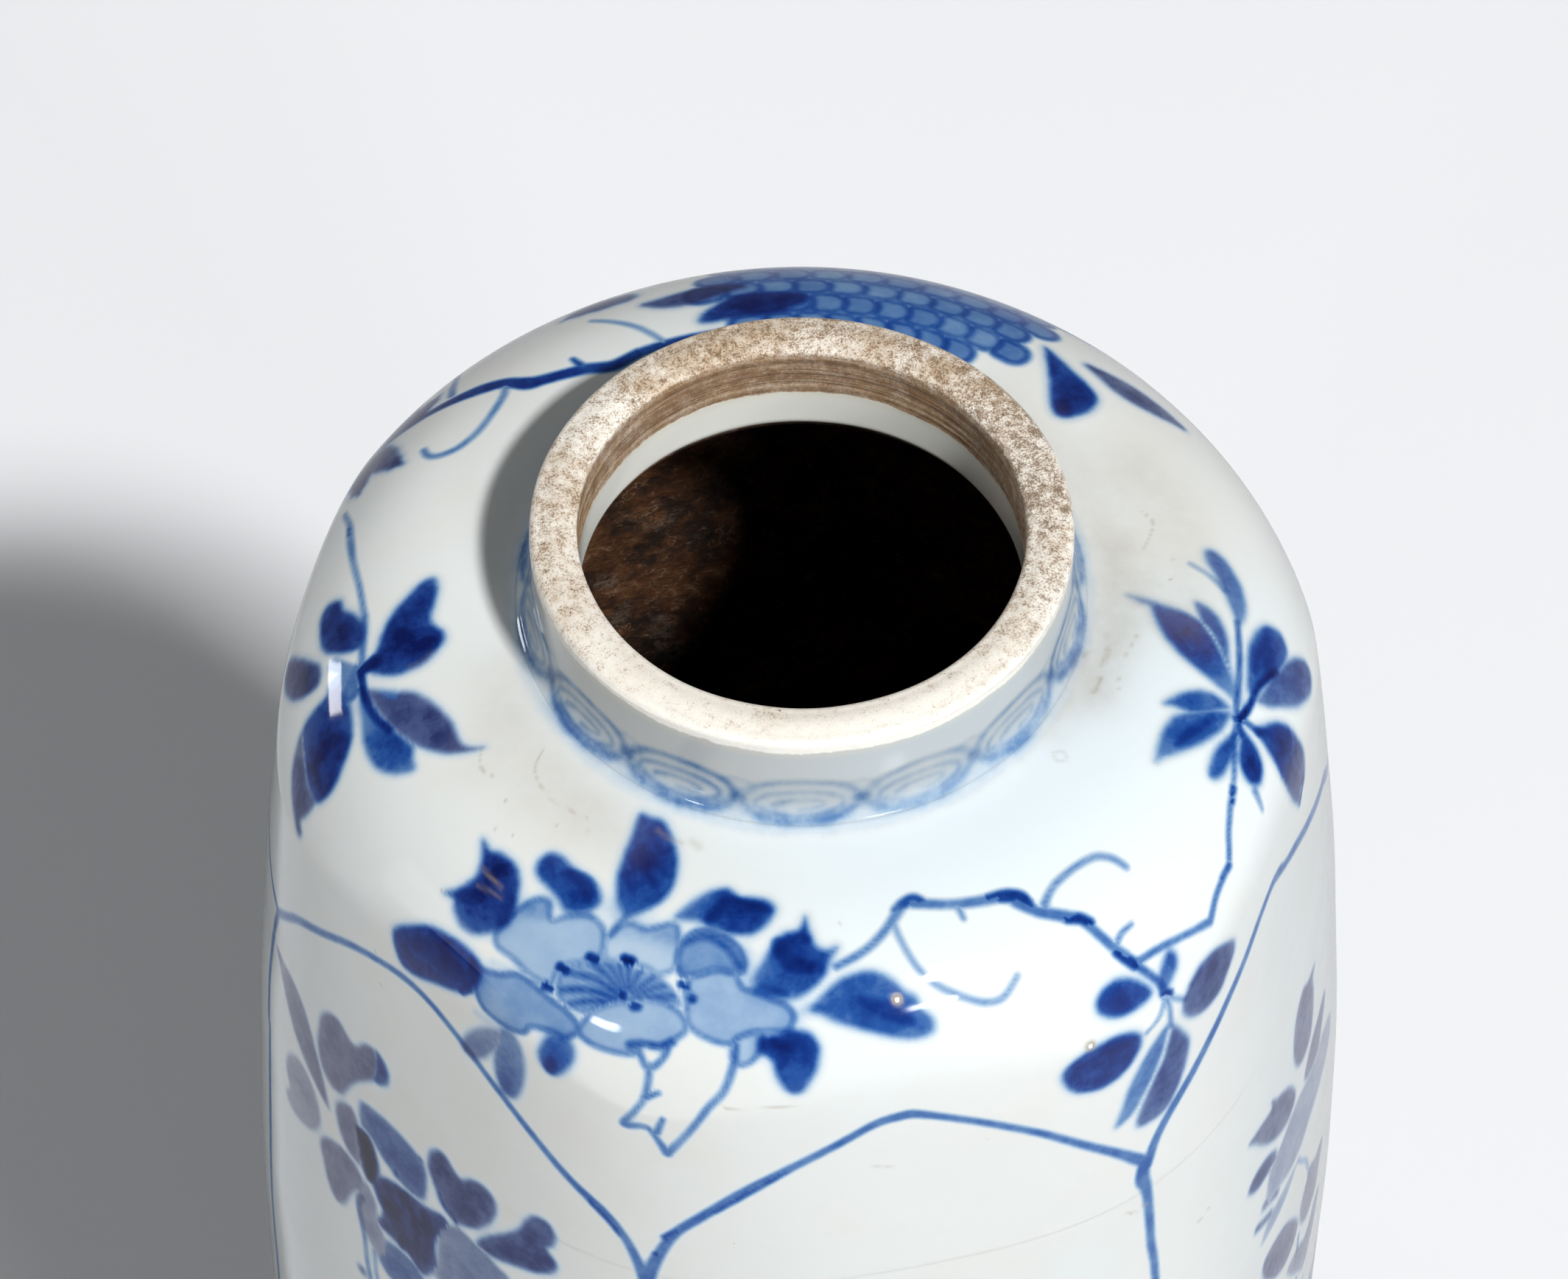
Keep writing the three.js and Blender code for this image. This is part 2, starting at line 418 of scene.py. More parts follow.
class Brush:
    # Paints on a grid of points, and keeps for each the distance in mm to the nearest stroke of three kinds
    kinds = {"wash": 0, "leaf": 1, "line": 2}
    reach = 2.6  # how far from a stroke its distance is still worked out

    def __init__(self, theta, station, radius):
        self.theta = theta
        self.station = station
        self.radius = radius
        shape = (len(station), len(theta))
        self.edges = np.full((3, *shape), self.reach)
        self.tones = np.zeros((3, *shape))
        self.notes = np.zeros((3, *shape))  # violet, bleeding, soil

    def near(self, spine, margin, filled=False):
        # The part of the grid near a spine, and the distances there to its edge or the shape it encloses
        widest = spine[:, 2].max() + margin
        low, high = spine[:, 1].min() - widest, spine[:, 1].max() + widest
        rows = np.flatnonzero((self.station > low) & (self.station < high))
        if not len(rows):
            return None, None
        middle = (spine[:, 0].min() + spine[:, 0].max()) / 2
        half = np.ptp(spine[:, 0]) / 2 + math.degrees(widest / self.radius[rows].min())
        away = (self.theta - middle + 180) % 360 - 180
        cols = np.flatnonzero(np.abs(away) < half)
        degree = np.radians(self.radius[rows])[:, None]
        x = away[cols] * degree
        y = self.station[rows][:, None]
        least = np.full((len(rows), len(cols)), np.inf)
        within = np.zeros(least.shape, bool)
        for (x0, y0, r0), (x1, y1, r1) in zip(spine, spine[1:]):
            fromX = x - (x0 - middle) * degree
            stepX, stepY = (x1 - x0) * degree, y1 - y0
            t = ((fromX * stepX + (y - y0) * stepY) / (stepX ** 2 + stepY ** 2 + 1e-9)).clip(0, 1)
            gap = np.hypot(fromX - t * stepX, y - y0 - t * stepY) - r0 - t * (r1 - r0)
            np.minimum(least, gap, out=least)
            if filled and y0 != y1:
                crossed = (x0 - middle + (y - y0) * (x1 - x0) / (y1 - y0)) * degree
                within ^= ((y0 > y) != (y1 > y)) & (x < crossed)
        return np.ix_(rows, cols), np.where(within, -least, least)

    def lay(self, kind, tone, at, gap, violet=None):
        if at is None:
            return
        layer = self.kinds[kind]
        nearer = gap < self.edges[layer][at]
        self.edges[layer][at] = np.where(nearer, gap, self.edges[layer][at])
        self.tones[layer][at] = np.where(nearer, tone, self.tones[layer][at])
        if violet is not None:
            self.notes[0][at] = np.where(nearer, violet, self.notes[0][at])

    def leaf(self, tone, shape, violet=0.0):
        # A filled stroke
        at, gap = self.near(spineOf(shape), self.reach)
        self.lay("leaf", tone, at, gap, violet)

    def blade(self, tone, fade, x, y, violet, shape):
        # A filled outline, darkest at x, y and paler by fade at its far end
        loop = outlineOf(shape)
        at, gap = self.near(loop, self.reach, True)
        if at is None:
            return
        degree = np.radians(self.radius[at[0]])
        away = (self.theta[at[1]] - x + 180) % 360 - 180
        far = np.hypot(away * degree, self.station[at[0]] - y)
        span = np.hypot((loop[:, 0] - x) * degree.mean(), loop[:, 1] - y).max()
        self.lay("leaf", tone - fade * (far / span).clip(0, 1) ** 1.3, at, gap, violet)

    def line(self, tone, shape):
        at, gap = self.near(spineOf(shape), self.reach)
        self.lay("line", tone, at, gap)

    def petal(self, tone, shape, outline=0.5, width=0.16, filled=False):
        # A pale shape whose outline hides the lines under it
        at, gap = self.near(outlineOf(shape) if filled else spineOf(shape), self.reach, filled)
        if at is None:
            return
        self.lay("wash", tone, at, gap)
        lines = self.edges[2]
        lines[at] = np.where(gap < 0, np.maximum(lines[at], -gap - width), lines[at])
        self.lay("line", outline, at, np.abs(gap) - width)

    def cloud(self, note, amount, shape):
        # A soft patch: of bled cobalt, note 1, or of dirt lying on the glaze, note 2
        spine = spineOf(shape)
        size = spine[:, 2].max()
        at, gap = self.near(spine * np.array([1, 1, 0]), size * 2)
        if at is not None:
            laid = self.notes[note][at]
            self.notes[note][at] = laid + amount * np.exp(-((gap / size) ** 2)) * (1 - laid)

    def give(self, made):
        # Hands the painting to a mesh whose first points are this grid's
        for name, values in (("inkEdges", self.edges), ("inkTones", self.tones), ("inkNotes", self.notes)):
            flat = values.reshape(3, -1).T
            rest = len(made.data.vertices) - len(flat)
            blank = [self.reach] * 3 if name == "inkEdges" else [0.0] * 3
            addVectors(made, name, np.vstack([flat, np.tile(blank, (rest, 1))]))


# Painted shapes: degrees round from the middle of the front, mm down from the foot of the neck, radius in mm
shoulderPainting = {
    "blades": [  # tone, how much it fades, where it is darkest, violet, outline
        (0.97, 0.22, -37.5, 6, 0, "-43 2.9, -41 2.6, -38.5 2.5, -36 3.6, -33.8 5.2, -32.3 7, -31.7 9.3, "
         "-32.4 11.2, -34.3 12.9, -36 13.9, -37.5 13.6, -39 12.3, -40.3 10.3, -41.3 7.6, -42 5.2"),
        (0.92, 0.12, -45, 12.6, 0, "-51.5 12.4, -50.8 11.4, -49 11.1, -46.5 11.5, -44 11.7, -41.8 12.2, "
         "-40.5 13.3, -41 14.6, -42.8 15.5, -44.5 15.9, -46 15.2, -48.3 14.6, -50.3 14.2, -51.3 13.4"),
        (1, 0.2, -53.2, 16.5, 0.15, "-60 14.6, -58 14.8, -56.5 14.4, -54 14.4, -52.3 15.2, -51 16.6, "
         "-50 18.6, -50.2 20.3, -51.7 21.8, -53.5 22.9, -55.5 23, -57.2 22.2, -58 21.3, -59.5 21.3, "
         "-58.6 20.3, -57.8 19, -57.4 17.6, -58.4 16"),
        (1, 0.1, -55.5, 27.5, 0, "-63.6 29.8, -62.8 28.2, -61 26.6, -58.8 25.1, -56 24.5, -53.6 24.4, "
         "-51.3 24.9, -50.3 26.2, -50.6 27.8, -51.5 29.3, -53.3 30.8, -56 32, -58.3 33.2, -60.5 33.9, "
         "-62 33.6, -63 32"),
        (0.94, 0.3, -20.5, 11.2, 0, "-30 12.6, -29 11, -27.3 9.5, -25.5 8.6, -23.5 8.2, -21.5 8.9, "
         "-19.5 8.9, -17.3 9, -15.9 9.8, -16.3 11, -17.6 12.3, -19.5 13.1, -22 13, -24.5 12.6, -27 12.5"),
        (0.98, 0.36, -12, 14.2, 0, "-11.6 10.7, -11 12, -10.2 13.6, -8.8 14.2, -7.2 14, -8.2 15.4, "
         "-8.9 16.8, -10.6 18.2, -12.5 19.2, -14.3 19.4, -16.3 19.2, -18 18.7, -18.2 17.2, -17 15.2, "
         "-15.9 13.6, -14.6 12.5, -12.6 12.1"),
        (0.78, 0.14, -6, 20.2, 0, "-11 20.2, -9.6 18.8, -7.9 17.6, -5.5 16.8, -2.8 16.8, -.8 17.8, .6 19.2, "
         "1.8 20, 2.4 21.4, 3.4 22.6, 3.2 24, 1.5 24.4, -1 24, -4 23, -7 22, -9.5 21"),
        (0.9, 0.12, -15, 24, 0, "-16.8 23.3, -15 22.8, -13 22.2, -11 22.6, -9.9 24, -10 26, -10.9 28, "
         "-12 29.4, -13.3 29.2, -14.6 27.6, -15.4 25.6, -16.8 24.8"),
        (0.9, 0.16, -39.5, 32.2, 0, "-40.8 28.6, -39 27.9, -37.6 28.4, -37 29.8, -37.6 31.6, -38.8 33.2, "
         "-40 33.6, -41.2 32.4, -41.4 30.6"),
        (0.66, 0.24, -51, 38.2, 0.6, "-46 31.5, -48.5 32.6, -50.5 34.6, -51.7 37, -51.8 39, -50.2 39.3, "
         "-48.6 38, -47.3 36, -46.2 33.8"),
        (0.74, 0.26, -45.6, 40, 0.3, "-46.5 31, -44.5 30.8, -43.2 33, -42.9 36, -43.3 39.2, -44.4 41.2, "
         "-46 41, -47 39, -47.3 36.3, -47 33.4"),
        (0.78, 0.16, 59, 13.4, 0, "48.6 12.4, 51 11.7, 54 11.4, 56.8 11.7, 58.2 12.5, 60.5 14.5, 62 16.5, "
         "62.2 17.6, 59 17.2, 55.5 15.8, 52.5 14.3, 50.3 13.1"),
        (0.8, 0.12, 59.3, 13.2, 0, "58.4 10.4, 60 10.9, 62 12.2, 63.4 13.9, 63.7 15.6, 62.9 17.3, "
         "61.5 16.4, 59.6 14.6, 58.7 13, 58.6 11.6"),
        (1, 0.46, 73.3, 12, 0, "78.6 4.6, 77 5.8, 76.3 6.9, 73.5 7.6, 70.5 8.8, 67.8 10.8, 66.2 13, "
         "65 15.2, 64.3 17.3, 66.5 17.3, 69 16, 71.5 14.7, 73.5 13.5, 75 12.4, 76 10.8, 77 8.4, 77.8 6.8"),
        (0.78, 0.14, 74, 13.4, 0, "73.5 13.8, 75 12.6, 78.2 12, 77.8 13.5, 76.2 14.8, 73.5 15.7, 70 16.2, "
         "66.5 17.1, 69.5 15.6"),
        (0.72, 0.08, 87, 14.6, 0, "76.5 17, 79 16, 81.5 15.4, 84 14.6, 86 13.9, 87.8 14, 88.3 15, "
         "87.2 16.2, 85 17.2, 82.5 18, 79.8 18.2, 77.5 17.8"),
        (0.9, 0.24, 74, 22.6, 0, "66.5 19, 69.5 18.4, 73 18.3, 76 19, 78.2 20.5, 78.9 22, 78.6 23.6, "
         "76.5 24.4, 73.8 23.6, 71.5 22.2, 69 20.6"),
        (0.86, 0.22, 75.3, 24.6, 0.34, "66.5 20.3, 69.5 21.2, 72.5 22.6, 75 24, 77 26, 78.2 28.2, "
         "77.5 29.6, 75 29.8, 72.5 28.3, 70 26.2, 68 23.6, 66.5 21.6"),
        (0.96, 0.1, 63.5, 23.6, 0.05, "62.3 21, 64 22, 65.8 23.6, 66.8 25.6, 66.2 27.2, 64 28, 61.8 27.4, "
         "60.4 27.6, 60.6 25.6, 61.4 23"),
        (0.94, 0.22, 63.5, 27, 0.42, "60.5 27.4, 62.5 26.6, 65 27.2, 66.8 26.2, 67 28, 67.5 30.5, 67.3 33, "
         "66.2 34.6, 65 34.4, 63.8 35.8, 62.5 34, 61.3 31.5"),
        (0.96, 0.1, 58, 21.6, 0, "60.8 19.6, 58.6 19.7, 56.8 20.4, 55.6 21.8, 55.8 23.2, 56.8 24, "
         "58.6 23.6, 60 22.4, 60.8 20.8"),
        (0.84, 0.1, 59, 18.8, 0, "52 18, 53.5 17.4, 56 17.3, 58.3 17.9, 60.2 18.8, 58.5 19.2, 56 19.5, "
         "53.7 19.4, 52.3 18.9"),
        (0.88, 0.08, 26.5, 29, 0, "22.3 28.6, 22.5 27.4, 24 26.5, 26 26.5, 28 27.8, 29.3 29.5, 29.4 30.6, "
         "27.5 31, 25.2 30.8, 23.2 29.8"),
        (0.76, 0.08, 33, 28, 0, "33.4 27.4, 34 28.5, 33.6 29.8, 32 31, 30.5 31.4, 30.4 30.4, 31.2 28.8, "
         "32.4 27.7"),
        (0.92, 0.08, 21.5, 36, 0.1, "16.9 35.4, 17.4 33.6, 19.5 32.5, 22.5 32.3, 25.2 32.9, 26.7 34.2, "
         "26.6 36.2, 25 38.2, 22.6 39.3, 20 39, 18 37.8"),
        (0.86, 0.12, 38, 34.5, 0.6, "33 34.6, 34.4 32.8, 36.8 31.8, 39.2 32, 41.4 33.2, 42.9 34.6, "
         "42.8 36.2, 41.2 37.8, 39.6 39.1, 37 39.4, 34.8 38.6, 33.1 36.8"),
        (0.66, 0.12, 29.5, 38, 0, "30.6 35.8, 30.2 37.8, 28.8 41, 27 43.8, 25 46.2, 22.8 46.8, 23.8 44, "
         "25 41, 27 38.2, 29 36.4"),
        (0.8, 0.1, 30, 43.5, 0.5, "31.3 36.6, 32.5 38.6, 33.6 41.2, 33 44, 31.4 47, 29.5 49, 27 49.2, "
         "25.6 48.6, 25.8 46.8, 27.4 43.8, 29.6 40.6, 30.6 38"),
        (1, 0.22, -94.3, 10.6, 0.1, "-107 9, -105 8.4, -102 8.6, -99 9, -97.3 8.6, -96 7.9, -94.2 7.9, "
         "-92.3 9, -90.8 10.8, -90.2 12.8, -91 14.6, -93.2 16.4, -95.5 15.2, -98 14.4, -101 13.3, "
         "-103.6 11.8, -106 10.4"),
        (0.84, 0.14, -79, 11, 0.7, "-90 16.8, -88.3 14.6, -86.5 12.2, -84 10.9, -81 10.1, -78 9.8, -75 10, "
         "-73.2 9.4, -72 8.3, -72.8 10.2, -74.5 12, -76.8 13.4, -79 14.5, -82 15.4, -86 16.4"),
        (0.84, 0.3, -80.5, 15.6, 0, "-90 17.2, -86.5 16.6, -83 15.6, -80.5 14.8, -78.3 14.3, -76.5 15, "
         "-75 15.4, -75.6 16.8, -77.2 18.2, -79.5 19.1, -82.5 19.2, -86 18.6, -88.8 18"),
        (1, 0.16, -84, 26.6, 0.05, "-93 20, -90.5 19.4, -88 19.2, -85 20, -82.8 21.9, -81.4 24.2, "
         "-81.4 26.5, -82.4 28, -85 28.1, -88 27.4, -91.6 26.5, -92.6 23.5"),
        (0.82, 0.12, -84, 28.6, 0.75, "-91.6 26.5, -88 27.2, -85 28, -82.4 27.8, -82.5 30.2, -83 31.7, "
         "-81.9 32.5, -82.6 33.3, -84.6 32.6, -87.3 31.3, -89.8 29.2"),
        (0.92, 0.16, -97.3, 23.6, 0.6, "-95.2 23, -96.4 22.3, -98 22.4, -99.8 24, -101.6 26, -103 27.8, "
         "-102.6 29, -100.6 29.6, -98.3 28.9, -96.3 27.2, -95.3 25"),
        (1, 0.12, -102, 19.6, 0.15, "-97 17.6, -98.6 16.3, -101 16.4, -103 17.6, -104.5 19, -106.3 19.8, "
         "-106.5 21.5, -105 22.4, -102 22.3, -99.8 21.8, -98.4 20.6"),
        (0.98, 0.1, 121.5, 11, 0, "117.6 10.6, 118.4 8, 120.6 7.2, 123.4 8.4, 126.4 10.6, 129.4 13, "
         "131.4 15, 128.6 14.6, 125.4 14, 122 13.6, 119 12.8"),
    ],
    "leaves": [  # tone, violet, shape
        (0.66, 0, "-88.6 15.6 .5, -86.4 14.2 1.1, -84 13 1.3, -82.6 12.2 .9"),
        (0.94, 0.6, "-92.6 15.4 .4, -91.4 13.4 .7, -91.6 11 .8, -93 9.4 .7"),
        (0.75, 0.8, "111.5 20.8 .6, 115 19 1.6, 118.5 17.7 1.9, 122 17 1.2, 125 16.6 .5"),
        (0.96, 0.1, "168 12 1, 172 11.5 2, 176 11.5 2, 181 10.5 1.2, 183 10 .5"),
        (0.85, 0.6, "176 15.3 .6, 180 15.3 1.4, 184 14.8 1.6, 187 15 1.2, 189.3 15.7 .5"),
    ],
    "petals": [  # tone, tone of the outline, outline
        (0.2, 0.3, "-37.4 15.5, -35.5 14.4, -33 14.4, -29.8 13.2, -28.3 15, -28 17.5, -30 18.6, -33 19, "
         "-36 19, -37.6 17.6"),
        (0.27, 0.36, "-50 18.2, -48.6 16.2, -46.8 15.8, -45.3 17.2, -43.5 16, -41 15.2, -38.6 15.8, "
         "-37.6 17.6, -37.6 19.5, -39.5 20.6, -41.8 21.6, -42 23.2, -44.5 23.4, -47.5 22.7, -50.2 22.4, "
         "-51 20.8"),
        (0.38, 0.42, "-51.3 25.8, -49.6 25.2, -48.3 24.8, -46 23.8, -43 24.2, -41.5 24.6, -39 25.2, "
         "-37.2 26.5, -38.5 28, -40 28, -41.5 28.2, -42.8 28.6, -43.6 29.8, -45.5 30.4, -48.5 30.3, "
         "-50 29.3, -51 27.6"),
        (0.35, 0.26, "-41.5 21, -38.5 19.4, -35 18.4, -31.5 18.2, -28.5 19.4, -26.5 21, -30 21.3, -32.6 22, "
         "-35 23, -36.8 24.5, -39 24.6, -41 23.8"),
        (0.31, 0.37, "-26.4 18.8, -25 17.6, -22.8 16.8, -20.5 16.9, -19.3 18.3, -17.5 18.6, -15.8 19.2, "
         "-13.8 19.8, -12.8 21, -13.6 22.4, -15.6 22.6, -17.6 22.9, -19 24, -21 24.3, -23.4 23.8, "
         "-25.2 22.8, -25.8 20.8"),
        (0.42, 0.44, "-28.2 16.2, -27.6 14.2, -26 13.2, -23.5 13.2, -21 14, -19.6 15.3, -19.4 16.8, -21 17, "
         "-23 17, -25.2 17.8, -27.2 18"),
        (0.3, 0.4, "-37.4 26.6, -36.4 24.2, -34.5 22.7, -32.4 21.9, -30.5 21.2, -28 21.2, -26 22, "
         "-25.2 23.4, -26.2 24.6, -26.9 25.4, -28.3 25.9, -29.8 26.2, -30.6 27.3, -33 27.7, -35.8 27.6"),
        (0.26, 0.36, "-19.6 23.8, -18 22.9, -16.4 22.8, -16.6 24.6, -17.6 26, -19 26.4, -19.8 25.6"),
    ],
    "lines": [  # tone, shape
        (0.5, "-47 12.4 .4, -43.8 12.3 .7, -42.4 13.6 .4"),
        (0.6, "-25.2 12 .4, -24.2 11 .6, -23.4 9.6 .3, -20 9.6 .2, -17 10.2 .16"),
        (0.4, "-25 12.8 .2, -20.6 12.6 .24"), (0.5, "-15.4 13.6 .5, -13.4 15.6 .8, -11 16 .5"),
        (0.6, "-11.4 13.2 .3"), (0.4, "-17 18.2 .2, -14 18.6 .24"), (0.55, "-15.2 23.6 .3, -13.6 24.2 .5"),
        (0.4, "-4.6 19.6 .5, -1.6 21 .8, .6 22.4 .4"), (0.5, "-39.4 8.2 .12, -36.6 8.8 .2, -34.6 9.8 .12"),
        (0.5, "-38.4 6.9 .12, -36 7.5 .2, -34 8.2 .1"), (0.45, "-37.4 5.4 .1, -35.4 6 .2"),
        (0.6, "-60 28.6 .8, -57 28 1.5, -54 27.6 1.2"), (0.7, "-51.6 28.8 .5, -52.4 30 .4"),
        (0.7, "-52 25.7 .3"), (0.5, "-39.6 31.4 .4, -39.8 32.6 .6"),
        (0.5, "63 27.6 .16, 63.8 30.6 .24, 64.4 32.4 .12"), (0.5, "58.4 21.8 .34"),
        (0.4, "70.4 19.4 .3, 73.6 19.6 .5, 76.4 21 .4"), (0.45, "76 7.8 .16, 72 9.4 .4, 68.6 11.6 .2"),
        (0.4, "53 13.4 .2, 57 14.4 .5, 60 15.8 .3"), (0.5, "-34 21.6 .3, -37 20.9 .26, -40 21.2 .2"),
        (0.48, "-33.8 21.1 .3, -36.4 20 .26, -38.2 19.5 .2"),
        (0.46, "-33.6 20.8 .26, -35.4 19.5 .24, -36.6 18.9 .18"),
        (0.48, "-33.3 20.8 .26, -34.4 19.5 .24, -35 18.6 .18"),
        (0.5, "-33 20.6 .24, -33.5 19.4 .24, -33.8 18.4 .2"),
        (0.46, "-32.6 20.8 .24, -32.4 19.4 .24, -32 18.6 .16"),
        (0.46, "-32.2 21 .24, -31.2 19.8 .24, -30.4 19 .16"),
        (0.46, "-31.9 21.2 .24, -30 20 .24, -28.6 19.4 .18"),
        (0.46, "-31.7 21.5 .22, -29.4 20.7 .22, -27.4 20.3 .18"),
        (0.5, "-34.2 22 .28, -37.6 22.2 .26, -41 23.4 .2"),
        (0.46, "-34.6 22.5 .26, -37.4 23.4 .24, -39.6 24.6 .16"), (0.92, "-34.5 18.1 .46, -33.6 18.1 .46"),
        (0.84, "-38.7 19.1 .42, -37.9 19.1 .42"), (0.86, "-41.7 21.2 .42, -40.9 21.2 .4"),
        (0.84, "-42.7 23.6 .42, -41.9 23.6 .4"), (0.74, "-26.8 19 .36, -26.2 19.2 .34"),
        (0.74, "-25.2 20.2 .36"), (0.8, "-33.5 21.6 .42"), (0.8, "-31.8 22.3 .38, -31.4 22.2 .36"),
        (0.4, "-27.6 14.8 .3, -25 13.8 .3, -21.8 14.7 .3, -20 16.3 .34"), (0.4, "-36.4 14 .3, -37.4 16.2 .3"),
        (0.52, "-31.2 26.4 .4, -29.8 25.9 .36, -28 25.8 .36, -26.6 25 .4"),
        (0.52, "-26.9 25.2 .36, -27.4 27 .3, -28.8 28.4 .34, -30 27 .3"),
        (0.5, "-28.8 28 .3, -28.6 29.6 .32, -28.8 32 .3, -29.7 34 .28, -30.8 36.5 .44, -28.5 36 .34, "
         "-27.5 37 .26, -26 39.5 .5"),
        (0.5, "-26 39.5 .44, -24 36 .36, -22 32 .34, -20.3 29.5 .36, -19.5 26.6 .36, -19.4 24.4 .26"),
        (0.58, "-28.8 32 .34, -27.3 31 .2"), (0.58, "-27.2 36.5 .34, -26.6 34.2 .2"),
        (0.5, "-7.5 16 .3, -4 14.8 .34, -1.5 13.5 .36, .5 12.2 .4, 2 11 .5"),
        (0.66, "1.6 11 .42, 2.8 10.5 .5, 4.4 10.2 .5, 5.6 10.7 .36"),
        (0.52, "4.3 10.6 .5, 7 11.3 .42, 10 12 .42, 14 12.7 .46, 16 13 .5"),
        (0.44, "10.2 12.2 .3, 10.4 13.7 .18"),
        (0.76, "14.6 12.7 .4, 16.8 13.1 .62, 18.8 13.9 .62, 19.6 15 .4"),
        (0.56, "18 14.2 .5, 20 16 .48, 22 17.2 .5, 24 18.4 .5"),
        (0.8, "23.2 18.2 .44, 24.6 18.8 .5, 25.6 19.8 .44"),
        (0.56, "25.2 19.8 .44, 26 21.5 .42, 27 23.5 .44, 28 25 .44"),
        (0.88, "27 23.9 .42, 27.7 25 .5, 28.6 26.4 .5"),
        (0.56, "28.6 26.2 .36, 32.5 26.6 .32, 36 27.5 .3, 39.8 28.6 .42"),
        (0.56, "40 28.5 .38, 42 27 .32, 44 26.2 .34, 45.6 25.8 .34"), (0.64, "44 26.1 .3, 45.8 25.8 .38"),
        (0.54, "46.3 25.3 .3, 48.5 23.3 .3, 51 21.9 .32, 52.5 21.4 .36"),
        (0.82, "51.6 21.7 .34, 53.3 21.1 .36"), (0.52, "53.5 21 .26, 56 20 .26, 59 18.9 .28, 61.5 18.5 .3"),
        (0.42, ".8 12.5 .26, 1.4 14.5 .24, 2.4 16.8 .24, 4 18.9 .24, 6 20.4 .24, 8 21.6 .24, 9.8 22.5 .24, "
         "12 22.6 .24, 14.4 21.1 .22"),
        (0.48, "21.3 15.8 .36, 23 14.9 .3, 25 14.4 .28, 28 14.2 .26, 31 14.5 .3, 32.6 15.4 .3, "
         "33.4 16.4 .3, 33.8 17.4 .26"),
        (0.5, "27.2 23.4 .28, 28.5 22.6 .24, 30.3 22.4 .16"), (0.6, "29 27 .4, 30.4 29.4 .34, 31 31.4 .42"),
        (0.86, "30.8 31.4 .4, 31.6 32 .36"), (0.4, "31 32 .3, 29.4 33.8 .24, 27.6 34.6 .22"),
        (0.4, "31.4 32.4 .3, 33.4 34.4 .24"), (0.44, "31 32.4 .3, 31 36.4 .26"),
        (0.92, "62 18.6 .5, 64.5 19.4 .34, 68 20 .28, 70.6 21.2 .3, 72.4 22.4 .4"),
        (0.6, "62 18.4 .3, 64 17.9 .3, 70 17.4 .3, 76.6 16.9 .26"), (0.7, "60.4 19.4 .36, 62 18.4 .5"),
        (0.56, "62.4 19.4 .3, 62.4 21.4 .4"), (0.34, "81.5 15.6 .3, 83.5 14 .24, 85.3 12 .2"),
        (0.74, "66 34.2 .3, 63.9 35.8 .2"), (0.4, "55.4 23.8 .4, 54.6 25.8 .2"),
        (0.8, "-94 15.6 .7, -93.4 17.2 .6"),
        (0.86, "-93.4 17.2 .44, -90 17.3 .36, -86 16.9 .3, -82.6 15.9 .26"),
        (0.5, "-93.8 18 .9, -91 18.8 .9"), (0.44, "-94.6 18.6 .7, -96.6 20.4 .7"),
        (0.44, "-94 18.8 .9, -93.6 20.6 .9"), (0.5, "-94.6 16.9 .36, -98 16.5 .34, -102 16.3 .32"),
        (0.5, "-102 16.3 .24, -105 16.8 .26, -108 17.5 .26, -112 18.9 .3, -116 20.4 .42, -119 21.6 .3, "
         "-122 24 .24"),
        (0.8, "-117 20.8 .34, -119 21.6 .3"),
        (0.8, "-165 8 .6, -160 7.8 .7, -156 9.3 .7, -153 10.2 .65, -150 11.3 .7, -148 12.3 .9, "
         "-146.5 14.5 .7, -144 16.5 .8, -142 18 .7, -139 20.4 .5, -136 23 .3"),
        (0.7, "-184 7.2 .5, -175 7.6 .6, -165 8 .6"), (0.7, "-156 9.5 .5, -156 11.5 .22"),
        (0.4, "-170 7.5 .3, -168 11 .3, -166 13.5 .28, -163 16.5 .24"),
        (0.5, "-146 14 .32, -144 13 .32, -140 12.2 .3, -136 12 .3, -132.5 12.7 .3, -130.5 14.2 .32, "
         "-130.3 15.5 .32, -131.3 16.6 .3"),
    ],
    "washes": [  # amount, shape of the thin blue that has run between the petals
        (0.26, "-48.6 17.2 1.1, -47 16.6 .9"),
        (0.22, "-38.6 13.6 1.2, -36.4 14.8 1.2, -32 14.4 1, -29.6 14.6 .9"),
        (0.22, "-19.4 15 .9, -18.8 17.4 .9"), (0.18, "-12.4 20.8 .8, -11.4 20.2 .6"),
        (0.16, "-49.6 24.2 .6, -47.4 23.8 .5"), (0.14, "-50 31.6 .8, -46.6 31.4 .8"),
        (0.16, "64.6 18.6 .8, 66 17.8 .6"), (0.16, "-92 18.6 1.2, -88 17.6 .8"),
    ],
    "soil": [  # amount, shape: dirt, scratches and iron specks
        (0.34, "56 3 3, 66 2.6 3.4, 76 2.4 3.4, 88 4 3.4"), (0.2, "44 1.4 2, 60 1 2.2"),
        (0.1, "-76 6 3.5, -70 9 3"), (0.2, "96 2 3.4, 112 2.5 3.4, 130 4 4"),
        (0.22, "76 11 4, 92 12 5, 104 10 5"), (0.14, "-84 3 4, -60 4 4, -44 6 4"), (0.1, "-60 8 4, -52 7 3"),
        (0.16, "68 4 2, 80 6 2.4"), (0.34, "122.5 1.8 .5, 123.4 2.4 .5, 124 3 .4"),
        (0.3, "-38.4 3.8 .3, -36 4.2 .3, -33.4 4.3 .3"), (0.26, "-31.8 3.8 .5, -30.4 4.2 .5"),
        (0.5, "55.6 3.1 .25, 56.8 3.3 .3, 59 3.2 .25"), (0.34, "61.5 2.8 .25, 64.5 3.1 .25, 66 3 .3"),
